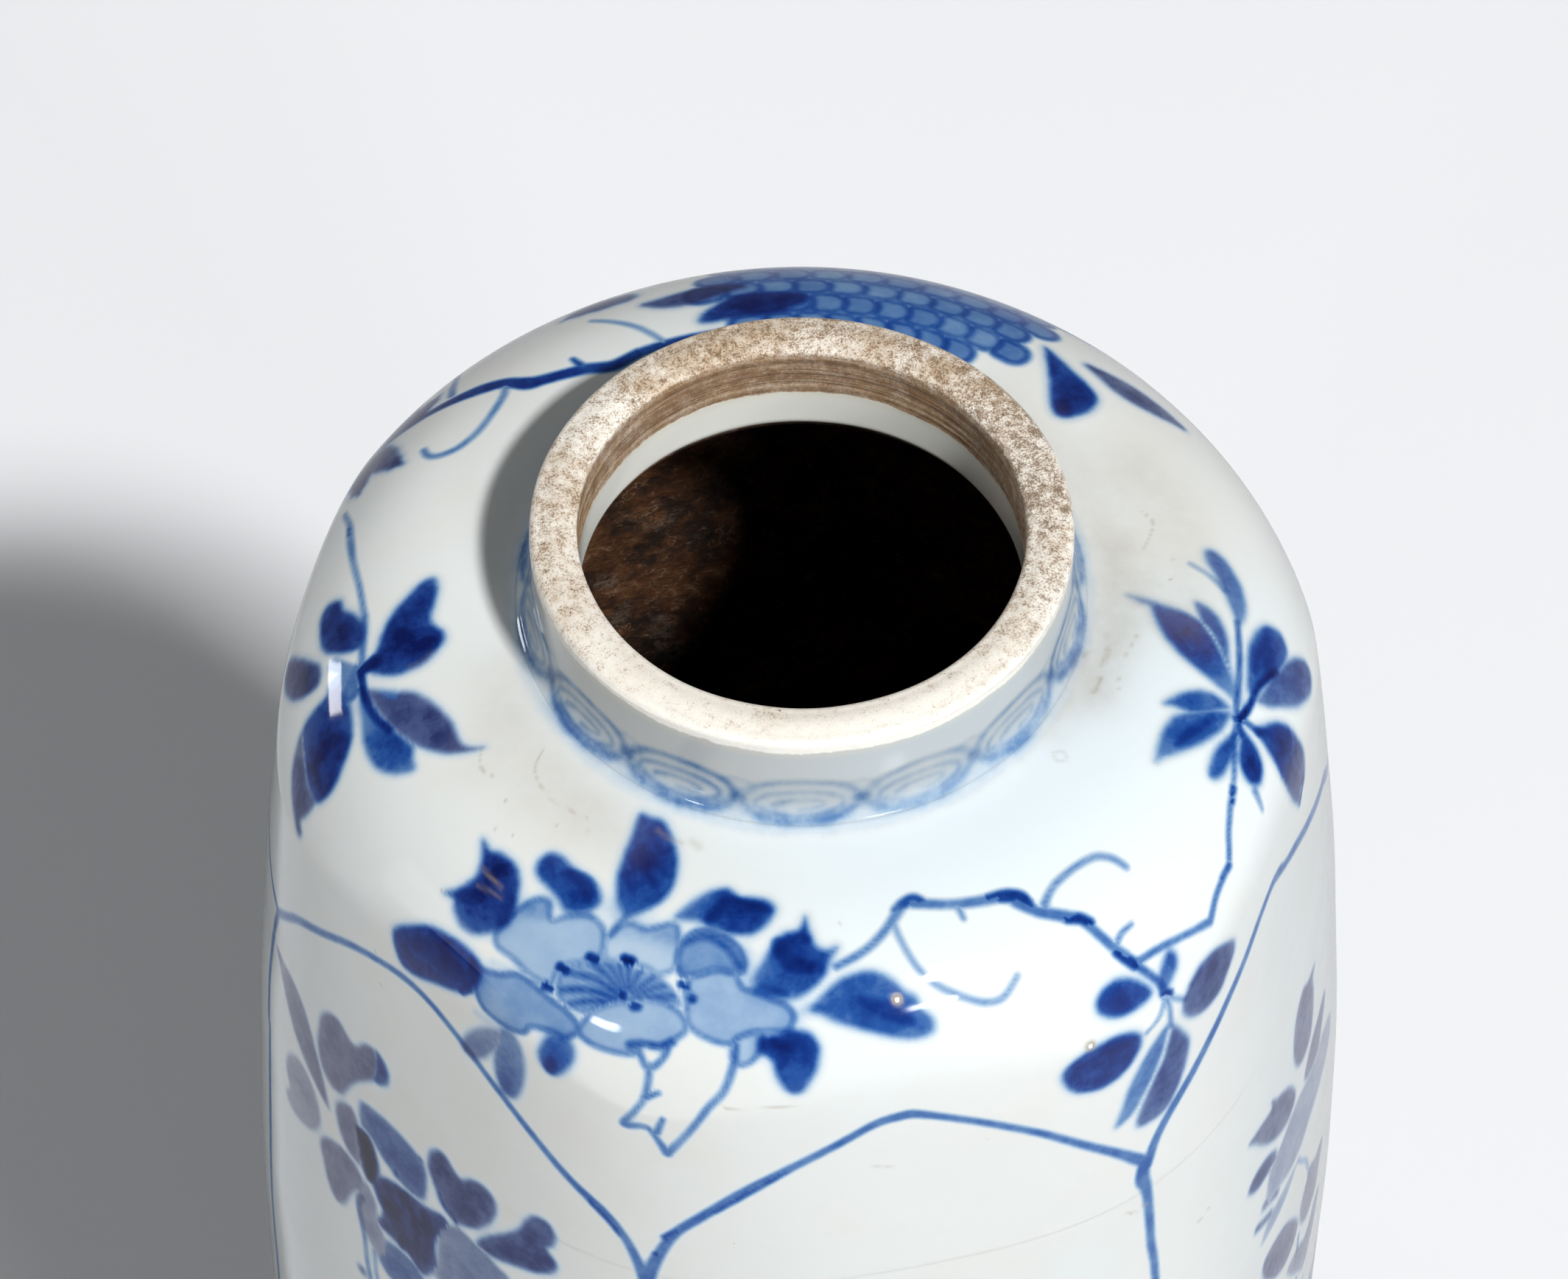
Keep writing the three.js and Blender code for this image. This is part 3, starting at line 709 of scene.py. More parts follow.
        (0.28, "40 3.3 .16, 41.3 4 .16, 40.2 4.9 .16, 39 4.1 .16, 40 3.3 .16"),
        (0.4, "62.5 .6 .25, 64 .9 .25"), (0.5, "-66 3.4 .09, -63 5.8 .09, -57 6.8 .09, -50 6.2 .09"),
        (0.45, "-72 8.6 .09, -69 9.8 .09, -66 9.2 .09"), (0.45, "58 5.4 .08, 63 4.8 .08, 70 5.8 .08"),
        (0.5, "88 7 .09, 93 9 .09, 96 8.4 .09"), (0.4, "-20 31.5 .1, -12 31 .1"), (0.7, "-62 10.2 .14"),
        (0.7, "-57 12.4 .12"), (0.8, "-53 8.6 .12"), (0.7, "-48.5 7.4 .14"), (0.6, "-60 21.4 .12"),
        (0.7, "-66 35.6 .14"), (0.6, "-20.5 31.2 .12"), (0.6, "8.4 41.4 .1"), (0.7, "82 9.4 .14"),
        (0.7, "86 10 .14"),
        # Laid three times over, a patch is a chip that shows the pale body
        *[(0.98, "-0.5 20 .42")] * 3, *[(0.98, "20.5 31.9 .45")] * 3,
        (0.8, "-59.7 12.9 .16"), (0.5, "-6.7 11.5 .16"), (0.8, "-64.8 39.9 .16"),
        (0.6, "23.8 61.8 .14, 25.2 62.6 .12, 26.4 62.2 .12"), (0.5, "33 73.2 .12, 35.6 72.4 .12"),
        (0.3, "-4.4 42.2 .16, -2 42.9 .14"), (0.34, "-57.4 16.8 .22, -53.4 17.2 .22"),
        (0.26, "-56.4 18.4 .2, -52.6 18 .2"),
    ],
}

bodyPainting = {
    "archTone": 0.58,
    "arches": [
        "-86 51 .5, -83 48 .44, -80 45 .44, -75 41.5 .4, -70 38.3 .4, -65 36.3 .4, -61 35.5 .46, "
        "-57 35.9 .42, -52 38 .42, -47 41 .42, -42 44.5 .44, -37 48.5 .46, -33 51.5 .62, -30.5 54.5 .5, "
        "-29 58 .55, -28 61 .8",
        "-28 61 .8, -27 57 .6, -25 52 .5, -22 48.5 .55, -18 44.5 .5, -13 41 .5, -8 38 .46, -4 35.6 .5, "
        "-1 34.9 .6, .5 35 .56, 3 36 .42, 7 38 .4, 11 40.4 .4, 15 43.3 .4, 20 48 .44, 23 51 .5, 26 54.5 .7",
        "26.5 56 .7, 28 52.5 .6, 30 50 .6, 33 47.5 .62, 37 44.5 .62, 41 42 .62, 45 40 .6, 49 38 .56, "
        "53 37 .5, 55.5 37.5 .66, 57 38.3 .5, 61 39.8 .6, 65 41.5 .62, 70 43.5 .64, 75 45.5 .64, 78 48 .6, "
        "84 51.5 .56, 90 55.5 .5",
        "90 55.5 .5, 93 51 .44, 98 46.5 .42, 104 42.6 .42, 111 38.6 .42, 117 36.2 .44, 120.5 35.4 .62, "
        "124 36 .44, 130 38.7 .42, 136 42 .42, 142 46.3 .44, 147 50.5 .46, 151.5 56.5 .6",
        "151.5 56.5 .6, 155 51.5 .46, 160 46.8 .44, 166 42.4 .42, 173 38.4 .42, 179 35.7 .44, 182.5 35 .6, "
        "186 35.8 .44, 192 38.5 .42, 199 42.8 .42, 205 47 .44, 209.5 51.5 .46, 212.5 56.5 .6",
        "212.5 56.5 .6, 216 51.5 .46, 221 47 .44, 227 42.6 .42, 233 39 .42, 239 36 .44, 243 35.2 .6, "
        "247 35.9 .44, 253 38.6 .42, 259 42 .42, 265 46.2 .44, 270 49.6 .46, 274 51 .5",
    ],
    "ridges": [
        "26.3 55 .8, 26 57.5 .85, 26.5 60 .6, 26.8 65 .5, 27 70 .46, 27.5 76 .44, 27.8 100 .44, 28 150 .42, "
        "28 200 .44, 28 232 .5",
        "-28 61 .8, -28.2 64 .6, -28 70 .44, -27.8 90 .44, -28.2 140 .42, -28 190 .44, -28 232 .5",
        "-86 51 .5, -87.5 57 .42, -88.5 65 .42, -88 72 .42, -87 78 .42, -86.4 120 .44, -86 180 .42, "
        "-86 232 .5",
        "90 55.5 .55, 90.2 62 .44, 90 90 .42, 90 150 .44, 90 200 .42, 90 232 .5",
        "151.5 56.5 .6, 151.4 64 .46, 151.5 100 .42, 151.3 150 .44, 151.5 200 .42, 151.5 232 .5",
        "212.5 56.5 .6, 212.6 64 .46, 212.5 100 .42, 212.4 150 .44, 212.5 200 .42, 212.5 232 .5",
    ],
    "accents": [  # where the arch lines are darker: tone, shape
        (0.74, "-3 35.2 .4, -1 34.9 .5, .6 35.1 .4"), (0.7, "-34.4 50.6 .4, -32 52.6 .55, -30.8 54.4 .4"),
        (0.76, "26.1 55 .6, 26 57.5 .7, 26.4 59.6 .4"), (0.66, "54.6 37.2 .4, 56.4 38 .5, 57.6 38.8 .3"),
        (0.68, "-26 53 .44, -22 48.5 .46, -14 41.8 .42, -8 38 .3"), (0.74, "-27.6 59.5 .5, -26.8 56 .5"),
    ],
    "blades": [  # the sprays whose tops show in the photo
        (0.64, 0.1, -76, 62, 1, "-86 57, -83.5 56.4, -80.5 56.3, -78 57.4, -76.3 59.6, -75 62, -73.6 64.6, "
         "-72.6 67, -72.2 69, -75 67.6, -78 65.8, -80.5 63.8, -82.7 61.2, -84.5 59"),
        (0.7, 0.1, -64.6, 54, 1, "-74.7 57.5, -74.3 54.6, -72.8 52.6, -71 52, -69 53.2, -67.8 53, "
         "-66.5 51.4, -64.8 50.9, -64.2 53, -64.8 56, -66 57.5, -67.8 59.6, -69 62, -70 64, -72 64.6, "
         "-73.8 63.2, -74.8 60.4"),
        (0.9, 0.2, -63.4, 53.8, 0.3, "-64.9 50.8, -63.4 51.2, -62.5 52.6, -62.5 54.4, -63.6 55.8, -65 56, "
         "-64.6 53.6"),
        (0.5, 0.1, -77, 72, 1, "-79.5 68, -77.5 67.6, -75.2 68.8, -73.9 71, -73.6 73.6, -74.8 76, -77 77.6, "
         "-80 78.4, -81.4 77, -80.6 75, -81.6 72.8, -81.2 70"),
        (0.66, 0.08, -70, 76, 1, "-73.6 76.6, -72.4 74.2, -70 73, -67.6 73.2, -66 74.6, -65.6 76.6, -67 78, "
         "-68 80, -69 82.6, -70.6 83.6, -72 82, -72.8 79.4"),
        (0.66, 0.1, -67, 69, 1, "-71 67, -70 65, -68 64.3, -66.8 66.5, -66.4 69.5, -66.2 72.6, -68.4 72.4, "
         "-70.2 70.4"),
        (1, 0.04, -65, 70, 0.9, "-67.3 67.5, -66.4 66, -65 66.2, -64 68, -63.3 70.6, -63.6 73, -65 74, "
         "-66.4 72.2, -67.2 69.8"),
        (0.76, 0.1, -60, 66, 0.4, "-67 63, -66.4 61.4, -63 60.7, -60 61, -57.6 61.8, -56.3 63, -56 65.5, "
         "-56.3 68.5, -58.5 69.3, -61 68.6, -63 67.6, -65 66, -66.6 65.4"),
        (0.88, 0.1, -55, 60, 0.7, "-55.8 60, -54.8 58.4, -53.5 58.2, -52.2 59.4, -51 60, -49.6 58.8, "
         "-47.6 58.4, -46.1 59.8, -46.2 62.4, -47.4 65, -49 66.8, -50.4 67.6, -52 68.2, -53.6 66.8, "
         "-55 64.6, -55.9 62.4"),
        (0.86, 0.08, -42, 66, 0.6, "-48.6 69, -47.4 66.6, -45 64, -43 61.5, -42 59, -40.8 57.7, -39.2 57.7, "
         "-38.3 59.4, -38.6 61.2, -39.3 62.3, -38.1 64, -38.6 65.8, -40.4 67.2, -43 68.2, -46 69.2"),
        (0.98, 0.12, -59, 75, 0.5, "-64.5 73, -63 71, -61 70, -58.5 69.6, -56 69.4, -53.5 68.6, -52.5 69.6, "
         "-53.6 72, -54.5 75, -54 78, -55 80.5, -56.5 82, -58.5 80.6, -61 80.2, -63.6 79.8, -62.6 77, "
         "-63.6 75.4"),
        (0.5, 0.06, -64.5, 80, 0.9, "-65.6 74.5, -63.8 76.2, -63.2 79.5, -62 82, -61.8 84.6, -63.4 86, "
         "-65.4 84, -66.6 81, -66.8 77.5"),
        (0.74, 0.12, -59, 82, 0.3, "-62 81.5, -59 81, -56.5 82, -55.6 84.8, -57.8 87.6, -61.5 88, -63.4 86, "
         "-62.6 83.6"),
        (0.58, 0.1, -48, 72, 0.7, "-54 71, -51.5 68.6, -48.5 69, -46 70, -43.6 71.4, -43.4 74.8, "
         "-46.4 78.4, -51 80.6, -54.6 80.4, -54.2 76"),
        (0.66, 0.08, 60, 69, 0.9, "56 69, 56.8 66, 58.4 64.2, 60.2 63.6, 62 64.6, 64.8 65, 63.8 66.6, "
         "63.9 69, 63.4 72, 62.2 74.6, 60 75.4, 57.6 74.4, 56.2 72"),
        (0.72, 0.1, 51, 74.5, 0.85, "43.5 70.3, 46 70.4, 49 71, 49.2 69.7, 50.6 71, 53 72.6, 55 74.6, "
         "56.2 76.8, 56 78.6, 53.6 79.2, 51 78.4, 48.6 76.6, 46.4 74.2, 44.8 72"),
        (0.78, 0.1, 46, 79, 0.7, "43.2 79, 44.4 77.7, 46.5 77.6, 48.8 78.6, 50.2 80, 50 81.5, 47.6 81.2, "
         "45 80.8"),
        (0.58, 0.06, 64, 78, 1, "59.5 78.5, 62 76.4, 65 75.6, 68 75, 69 76, 68 78, 66.5 79.6, 65 81.4, "
         "62 81, 60 80.2"),
        (0.42, 0.06, 52, 85, 0.7, "47.6 84, 48.5 81.6, 51 80.8, 54 80, 57 79.6, 60 80.4, 64 81.4, 67 81, "
         "70 82, 71.8 84, 70.6 86.6, 67 88, 62 88.6, 58 89.6, 54 89.2, 51 88, 47.8 87.6, 47.2 86"),
        (0.4, 0.04, 50, 91, 0.5, "46.2 92.6, 48.2 90, 52 90, 55.6 90.4, 57 91, 53.5 92.6, 50 93"),
        (0.72, 0.1, 52, 102, 0.95, "46.8 99, 47.4 96.8, 50 96.8, 53 98, 55.2 100, 57.2 102.6, 58.2 105, "
         "56.6 106.8, 54 107, 51 105.4, 48.4 102.4"),
        (0.6, 0.08, 62, 104, 1, "58.6 103, 60.4 100.6, 62.4 99.4, 64.6 101, 67.4 101.4, 68 103.6, 66.6 106, "
         "65.6 108.6, 62 109, 59.4 107"),
        (0.54, 0.08, 60, 113, 0.9, "54.8 109.6, 58 110, 62 112.4, 66 110.6, 68 112, 66.4 115, 64 118, "
         "61.6 119, 58.6 115.6, 56 112.4"),
    ],
    "leaves": [
        (0.88, 0.4, "-63.2 62 .8, -62.2 65 .8, -60.6 68 .9"),
        (0.9, 0.4, "-57.2 62.4 .5, -56.8 65.6 .5, -57 68.4 .4"),
        (0.98, 0.3, "-54.6 64 .5, -53.4 66.4 .6, -51.6 67.8 .5"), (0.86, 0.7, "-47 72.6 1, -45.4 71.6 .8"),
        (0.6, 0.7, "47 86 .8, 50.5 88 .7"), (0.6, 0.7, "45.2 88 .7, 48.5 89.6 .7"), (0.6, 0.8, "-66 91.6 .8"),
    ],
    "lines": [
        (0.44, "-66 78 .4, -66.6 80 .4, -65.6 85 .36, -65 90 .34, -63 98 .36"),
        (0.36, "-64 86 .3, -63.6 90 .3, -62 96 .34"),
        (0.34, "57 91 .34, 58.6 93.4 .3, 60 95.4 .34, 61.6 100 .4"), (0.44, "58.6 108 .4, 58.4 111 .4"),
        (0.7, "-59 70.5 .4, -57.4 74 .4, -57 79 .3"), (0.3, "-62 74 .3, -60.4 79 .3"),
        (0.86, "-66.8 67 .5, -65.4 69.6 .85, -64.6 72.8 .6"), (0.66, "-62 72 .6, -60 76 .8, -59.6 80 .4"),
        (0.6, "-56 71 .8, -55.4 75 .7, -56 79 .5"),
    ],
    "footLines": ((232.0, 0.6, 0.55), (236.5, 0.42, 0.35)),  # station, tone, half width
}

# The plants of the six panels. A stem is places across in mm and shares of the way up from its root
plants = {
    "stemTone": 0.62,
    "panels": [  # middle in degrees, which plant, mirrored, where its top lies
        (0.0, "peony", 1, 104.0), (57.0, "bough", 1, 124.0), (120.7, "peony", -1, 66.0),
        (182.0, "bough", -1, 62.0), (243.2, "peony", 1, 66.0), (-57.0, "bough", -1, 112.0),
    ],
    "peony": {
        "root": 226.0,
        "stem": ((-6, 0), (-7, 0.16), (-1, 0.34), (3, 0.52), (-2, 0.7)),
        "tip": (-1, 12),
        "stemHalf": (0.85, 0.09),  # half width at the root, and how much less at each next place
        "twigs": ((0.1, -1, 9), (0.2, 1, 15), (0.36, -1, 13), (0.46, 1, 14), (0.57, -1, 15), (0.67, 1, 14),
                  (0.75, -1, 15)),  # share of the way up, side, length
        "twigRise": (5, 10),
        "twigBend": (0.45, 1.5, 0.4, 0.32),  # where and how much it bends, half widths there and at its end
        "blossomAt": (0.36, 1.5, 3, 6.2),  # which twig, set back by, up by, size
        "rosetteSize": (8, 9.5),
        "rosetteRise": -5,
        "rocksAt": 8,
    },
    "bough": {
        "root": 227.0,
        "stem": ((12, 0), (6, 0.12), (9, 0.27), (-3, 0.42), (-8, 0.6), (1, 0.76)),
        "tip": (4, 6),
        "stemHalf": (1.1, 0.11),
        "twigs": ((0.14, -1, 14), (0.25, 1, 9), (0.32, -1, 18), (0.44, 1, 16), (0.52, -1, 12), (0.64, 1, 16),
                  (0.74, -1, 15), (0.86, 1, 12), (0.95, -1, 9)),
        "twigRise": (3, 8),
        "twigBend": (0.5, 3.5, 0.38, 0.3),
        "blossomAt": (0.44, 3, 2, 7.0),
        "rosetteSize": (7.5, 9),
        "rosetteRise": -3,
        "rocksAt": -9,
    },
    "grass": ((-15, 6.0), (-9, 9.0), (-2, 7.0), (6, 5.0), (13, 7.0)),  # place across and height
}


def leafSpine(x, y, turn, length, width):
    # A pointed leaf from its stalk outwards: x, y and radius in mm
    along = np.array([0, 0.2, 0.5, 0.78, 1.0]) * length
    half = np.array([0.18, 0.75, 1.0, 0.62, 0.1]) * width / 2
    bow = 0.12 * length * np.sin(np.pi * along / length)
    c, s = math.cos(math.radians(turn)), math.sin(math.radians(turn))
    return np.stack([x + along * c - bow * s, y + along * s + bow * c, half], -1)


def onCircle(x, y, reach, angle, reachDown=None):
    a = math.radians(angle)
    return x + reach * math.cos(a), y + (reach if reachDown is None else reachDown) * math.sin(a)


class Panel:
    # Carries shapes in mm from a panel's middle on to a brush
    def __init__(self, brush, middle, mirror):
        self.brush = brush
        self.middle = middle
        self.mirror = mirror

    def carried(self, spine):
        placed = np.array(spine, float)
        radius = np.interp(placed[:, 1], stationList, radiusList) - 1.0
        placed[:, 0] = self.middle + self.mirror * np.degrees(placed[:, 0] / radius)
        return placed

    def leaf(self, tone, x, y, turn, length, width, violet=0.2):
        self.brush.leaf(tone, self.carried(leafSpine(x, y, turn, length, width)), violet)

    def line(self, tone, *points):
        text = ", ".join(f"{x} {y} {r}" for x, y, r in points)
        self.brush.line(tone, self.carried(spineOf(text)))

    def rosette(self, x, y, size, turn, chance):
        # Leaves spread round the end of a twig
        count = int(chance.integers(5, 8))
        for i in range(count):
            angle = turn + (i - (count - 1) / 2) * 47 + chance.uniform(-9, 9)
            length = size * chance.uniform(0.8, 1.25)
            tone = chance.uniform(0.70, 0.96)
            self.leaf(tone, *onCircle(x, y, 1.1, angle), angle,
                      length, length * chance.uniform(0.46, 0.6), chance.uniform(0.1, 0.7))
        self.line(0.7, (*onCircle(x, y, -1.6, turn), 0.3), (x, y, 0.6))

    def blossom(self, x, y, size, turn, chance):
        # Two rounds of pale petals about a ring of stamens, backed by dark leaves
        squash = 0.85
        for i in range(5):
            angle = turn + i * 72 + chance.uniform(-12, 12)
            length = size * chance.uniform(0.62, 0.8)
            self.leaf(chance.uniform(0.85, 0.98), *onCircle(x, y, size * 0.95, angle, size * squash),
                      angle, length, length * 0.6, 0.1)
        for count, out, radius, tone in ((7, 0.78, 0.36, 0.34), (5, 0.4, 0.34, 0.24)):
            for i in range(count):
                angle = turn + 20 + i * 360 / count + chance.uniform(-8, 8)
                px, py = onCircle(x, y, size * out, angle, size * out * squash)
                half = size * 0.14
                lobes = [(*onCircle(px, py, half, angle + quarter), radius * size) for quarter in (-90, 90)]
                self.brush.petal(tone * chance.uniform(0.8, 1.2), self.carried(lobes), 0.42)
        for i in range(7):
            tip = onCircle(x, y, size * 0.5, turn + 180 + (i - 3) * 24)
            self.line(0.6, (x, y, 0.16), (*tip, 0.13))
            self.line(0.85, (*tip, 0.38), (tip[0] + 0.1, tip[1], 0.38))
        self.line(0.85, (x - 0.4, y, 0.5), (x + 0.4, y + 0.2, 0.5))

    def rocks(self, x, root):
        # Three pale humps with dark rims, one before the other
        for across, up, radius, tone in ((-9, 1, 3.4, 0.34), (0, -3, 5.2, 0.26), (8, 0.5, 3.8, 0.4)):
            lobes = [(x + across, root + up, radius), (x + across + 2, root + up - 2, radius * 0.7)]
            self.brush.petal(tone, self.carried(lobes), 0.62, 0.3)


def paintPlant(panel, kind, top, chance):
    # A peony: a rooted shrub with a large blossom at its top, a smaller one and rosettes of leaves.
    # A bough: crooked, it crosses the panel and carries rosettes, buds and one blossom
    plant, tone = plants[kind], plants["stemTone"]
    darker = 0.1 if kind == "bough" else 0.0
    root = plant["root"]
    stem = [(x, root - share * (root - top)) for x, share in plant["stem"]]
    stem.append((plant["tip"][0], top + plant["tip"][1]))
    thick, thinner = plant["stemHalf"]
    panel.line(tone + darker, *[(x, y, thick - thinner * i) for i, (x, y) in enumerate(stem)])
    if kind == "peony":
        panel.blossom(0, top + 8, 8.5, -90 + chance.uniform(-15, 15), chance)
    else:
        for i, (x, y) in enumerate(stem[1:-1]):
            panel.line(0.85, (x - 0.5, y, 1.0 - 0.1 * i), (x + 0.6, y - 1.0, 0.8 - 0.1 * i))
            panel.line(0.6, (x, y, 0.4), (x + (2.6 if i % 2 else -2.6), y - 2.2, 0.16))
    bendAt, bendUp, bendHalf, endHalf = plant["twigBend"]
    blossomTwig, setBack, setUp, blossomSize = plant["blossomAt"]
    for share, side, reach in plant["twigs"]:
        y = root - share * (root - top)
        x = float(np.interp(-y, [-place[1] for place in stem], [place[0] for place in stem]))
        end = (x + side * reach, y - chance.uniform(*plant["twigRise"]))
        panel.line(tone, (x, y, 0.5), (x + side * reach * bendAt, y - bendUp, bendHalf), (*end, endHalf))
        if share == blossomTwig:
            panel.blossom(end[0] - side * setBack, end[1] - setUp, blossomSize, -90, chance)
        else:
            size = chance.uniform(*plant["rosetteSize"])
            turn = math.degrees(math.atan2(plant["rosetteRise"], side * 6))
            panel.rosette(*end, size, turn, chance)
    panel.rocks(plant["rocksAt"], root)
    if kind == "bough":
        return
    for x, size in plants["grass"]:
        for i in range(3):
            panel.leaf(0.55 - 0.1 * i, x + chance.uniform(-2, 2), root + 2, -90 + chance.uniform(-28, 28),
                       size * chance.uniform(0.8, 1.2), 2.6, 0.1)


def paintVase(brush):
    for blade in shoulderPainting["blades"] + bodyPainting["blades"]:
        brush.blade(*blade)
    for tone, violet, shape in shoulderPainting["leaves"] + bodyPainting["leaves"]:
        brush.leaf(tone, shape, violet)
    for tone, outline, shape in shoulderPainting["petals"]:
        brush.petal(tone, shape, outline, 0.2, True)
    for tone, shape in shoulderPainting["lines"] + bodyPainting["lines"]:
        brush.line(tone, shape)
    for amount, shape in shoulderPainting["soil"]:
        brush.cloud(2, amount, shape)
    for amount, shape in shoulderPainting["washes"]:
        brush.cloud(1, amount, shape)
    for shape in bodyPainting["arches"] + bodyPainting["ridges"]:
        brush.line(bodyPainting["archTone"], shape)
    for tone, shape in bodyPainting["accents"]:
        brush.line(tone, shape)
    for station, tone, half in bodyPainting["footLines"]:
        brush.line(tone, hoop(station, half))
    for order, (middle, kind, mirror, top) in enumerate(plants["panels"]):
        paintPlant(Panel(brush, middle, mirror), kind, top, np.random.default_rng(40 + order))


backShoulder = {
    "first": (134.5, 24.5),  # where the head of scales begins: degrees round, mm down
    "apart": (4.9, 3.3),
    "stagger": 2.4,
    "headAt": 160.0,  # degrees round that its leaves are counted from
    "headLeaves": ((-22, 25, 150), (-13, 29, 120), (-2, 31, 85), (9, 30, 60), (19, 26, 30), (24, 19, 10)),
    "headLeafSize": (8.5, 4.8),
    "sideAt": -135.0,
}


def paintBackShoulder(brush):
    # The far side of the shoulder: a head of overlapping scales, with leaves about it
    chance = np.random.default_rng(7)
    firstTheta, firstStation = backShoulder["first"]
    across, up = backShoulder["apart"]
    for row in range(6):
        for i in range(11 - row // 2):
            theta = firstTheta + across * i + (backShoulder["stagger"] if row % 2 else 0)
            station = firstStation - up * row
            if theta > 184 - 2.2 * abs(row - 3) or (row == 5 and theta < 138):
                continue
            scale = f"{theta - 0.7} {station} 1.7, {theta + 0.7} {station} 1.7"
            brush.petal(chance.uniform(0.42, 0.52), scale, 0.46, 0.3)
    back = Panel(brush, backShoulder["headAt"], 1)
    length, width = backShoulder["headLeafSize"]
    for x, y, turn in backShoulder["headLeaves"]:
        back.leaf(chance.uniform(0.82, 0.97), x, y, turn + chance.uniform(-10, 10), length, width, 0.3)
    side = Panel(brush, backShoulder["sideAt"], 1)
    side.rosette(1, 26, 8.5, 70, chance)
    side.line(0.6, (-1, 23, 0.4), (0.5, 25.5, 0.5))
    side.rosette(-14, 31, 7.0, 120, chance)
    side.line(0.55, (-6, 20, 0.4), (-11, 25, 0.34), (-14, 30, 0.4))


scrollBand = {
    "count": 14,
    "first": -12.6,
    "middle": -2.95,
    "halfHeight": 2.75,
    "halfWidth": 6.3,
}
# How strongly the scrolls show through the glaze: degrees round, strength. As painted shade, they are
# stronger round the shaded sides and weakest on the lit front
scrollStrengthsShaded = (
    (-180, 0.46), (-66, 0.50), (-38, 0.50), (-12, 0.32), (13, 0.26), (39, 0.34), (64, 0.46), (180, 0.46))


def paintScrolls(brush, middle, radius, sizes=scrollBand, flip=1):
    # A row of flattened spirals that touch, blurred under thick glaze and darker along the foot
    step = 360.0 / sizes["count"]
    degree = math.radians(radius)
    wide, tall = sizes["halfWidth"] / degree, sizes["halfHeight"]
    chance = np.random.default_rng(3)

    def bleed(amount, *places):
        # A cloud through places in degrees and mm towards the band's foot, each with a radius
        brush.cloud(1, amount, ", ".join(f"{x} {middle + flip * y} {r}" for x, y, r in places))

    bleed(0.10, *[(x, 0.8, 2.6) for x in range(-188, 189, 8)])
    bleed(0.11, *[(x, tall + 0.4, 1.3) for x in range(-188, 189, 8)])
    for i in range(sizes["count"]):
        theta = (sizes["first"] + i * step + 180) % 360 - 180
        # Painted shade: the scrolls are stronger on the sides away from the key light
        strength = float(np.interp(theta, *zip(*scrollStrengthsShaded)))
        lean = chance.uniform(-0.2, 0.2)

        def loop(start, end, across, up, lower, width, tone, count=24):
            t = np.linspace(0, 1, count)
            angle = np.radians(start + (end - start) * t)
            x = theta + wide * (across[0] + (across[1] - across[0]) * t) * np.cos(angle)
            down = tall * (up[0] + (up[1] - up[0]) * t) * np.sin(angle)
            y = middle + flip * (lower + lean * np.cos(angle) + down)
            brush.cloud(1, strength * tone, np.stack([x, y, np.full(count, width)], -1))

        loop(186, 354, (0.94, 0.94), (1, 1), 0, 0.60, chance.uniform(0.72, 0.86))
        loop(8, 172, (0.94, 0.93), (0.96, 0.96), 0, 0.66, chance.uniform(0.66, 0.86))
        loop(170, 520, (0.72, 0.66), (0.58, 0.52), 0.3, 0.44, chance.uniform(0.5, 0.62), 40)
        loop(180, 450, (0.44, 0.34), (0.26, 0.18), 0.45, 0.36, chance.uniform(0.36, 0.48))
        dot = theta - wide * 0.4
        rim = theta + step / 2
        bleed(strength * 0.26, (dot, 0.5, 0.5), (dot + 1.4, 0.3, 0.4))
        bleed(strength * 0.08, (rim, -0.6, 0.8), (rim + 0.2, 0.8, 0.8))
        bleed(strength * 0.24, (rim - 4, -tall * 0.7, 0.5), (rim - 0.6, -tall * 0.86, 0.5),
              (rim + 2.8, -tall * 0.62, 0.5), (rim + 3, -0.9, 0.4))
        bleed(strength * 0.34, (theta - 9, tall * 0.62, 0.9), (theta, tall * 0.9, 1),
              (theta + 9, tall * 0.62, 0.9))


glazeLooks = {
    "white": rgb(218, 220, 217),
    "cool": rgb(211, 219, 221),
    "warm": rgb(216, 214, 207),
    "blue": rgb(212, 222, 226),
    "low": (0.93, 0.935, 0.94),  # painted shade: how much darker the walls and lower shoulder are than the top of the shoulder
    "left": (0.955, 0.95, 0.94),  # painted shade on a patch left of the front
    "inks": [(0.0, (211, 213, 211)), (0.12, (192, 203, 210)), (0.30, (148, 172, 196)),
             (0.50, (90, 127, 172)), (0.70, (34, 78, 146)), (0.85, (14, 47, 120)), (1.0, (4, 20, 82))],
    "violets": [(0.0, (211, 213, 211)), (0.12, (194, 198, 204)), (0.30, (158, 163, 176)),
                (0.50, (114, 120, 144)), (0.70, (78, 84, 114)), (0.85, (44, 50, 84)), (1.0, (12, 16, 38))],
    "soil": rgb(152, 140, 120),
    "chip": rgb(238, 234, 222),
    "dot": rgb(120, 110, 95),
    "plainDot": rgb(110, 92, 72),
    "dotSpacing": 7.0,
    "roughness": 0.06,
    "smeared": 0.05,  # how much rougher where the glaze is smeared
    "soiled": 0.5,  # and where soil lies on it
    "peel": 0.24,  # depth in mm of the glaze's gentle waves
}

# Where a tint lies on the vase, as ramps in mm across, back and up: the pooled blue is the glaze's own, the
# other two are painted shade
glazePlaces = {
    "pooled": ((-26.0, 8.0), (-34.0, -56.0), (222.0, 236.0)),
    # painted shade: the vase darkens downwards between these heights
    "low": (233.0, 208.0),
    "paintedShadeLeft": ((0.0, -24.0), (-60.0, -46.0), (-24.0, -50.0), (180.0, 204.0)),
}

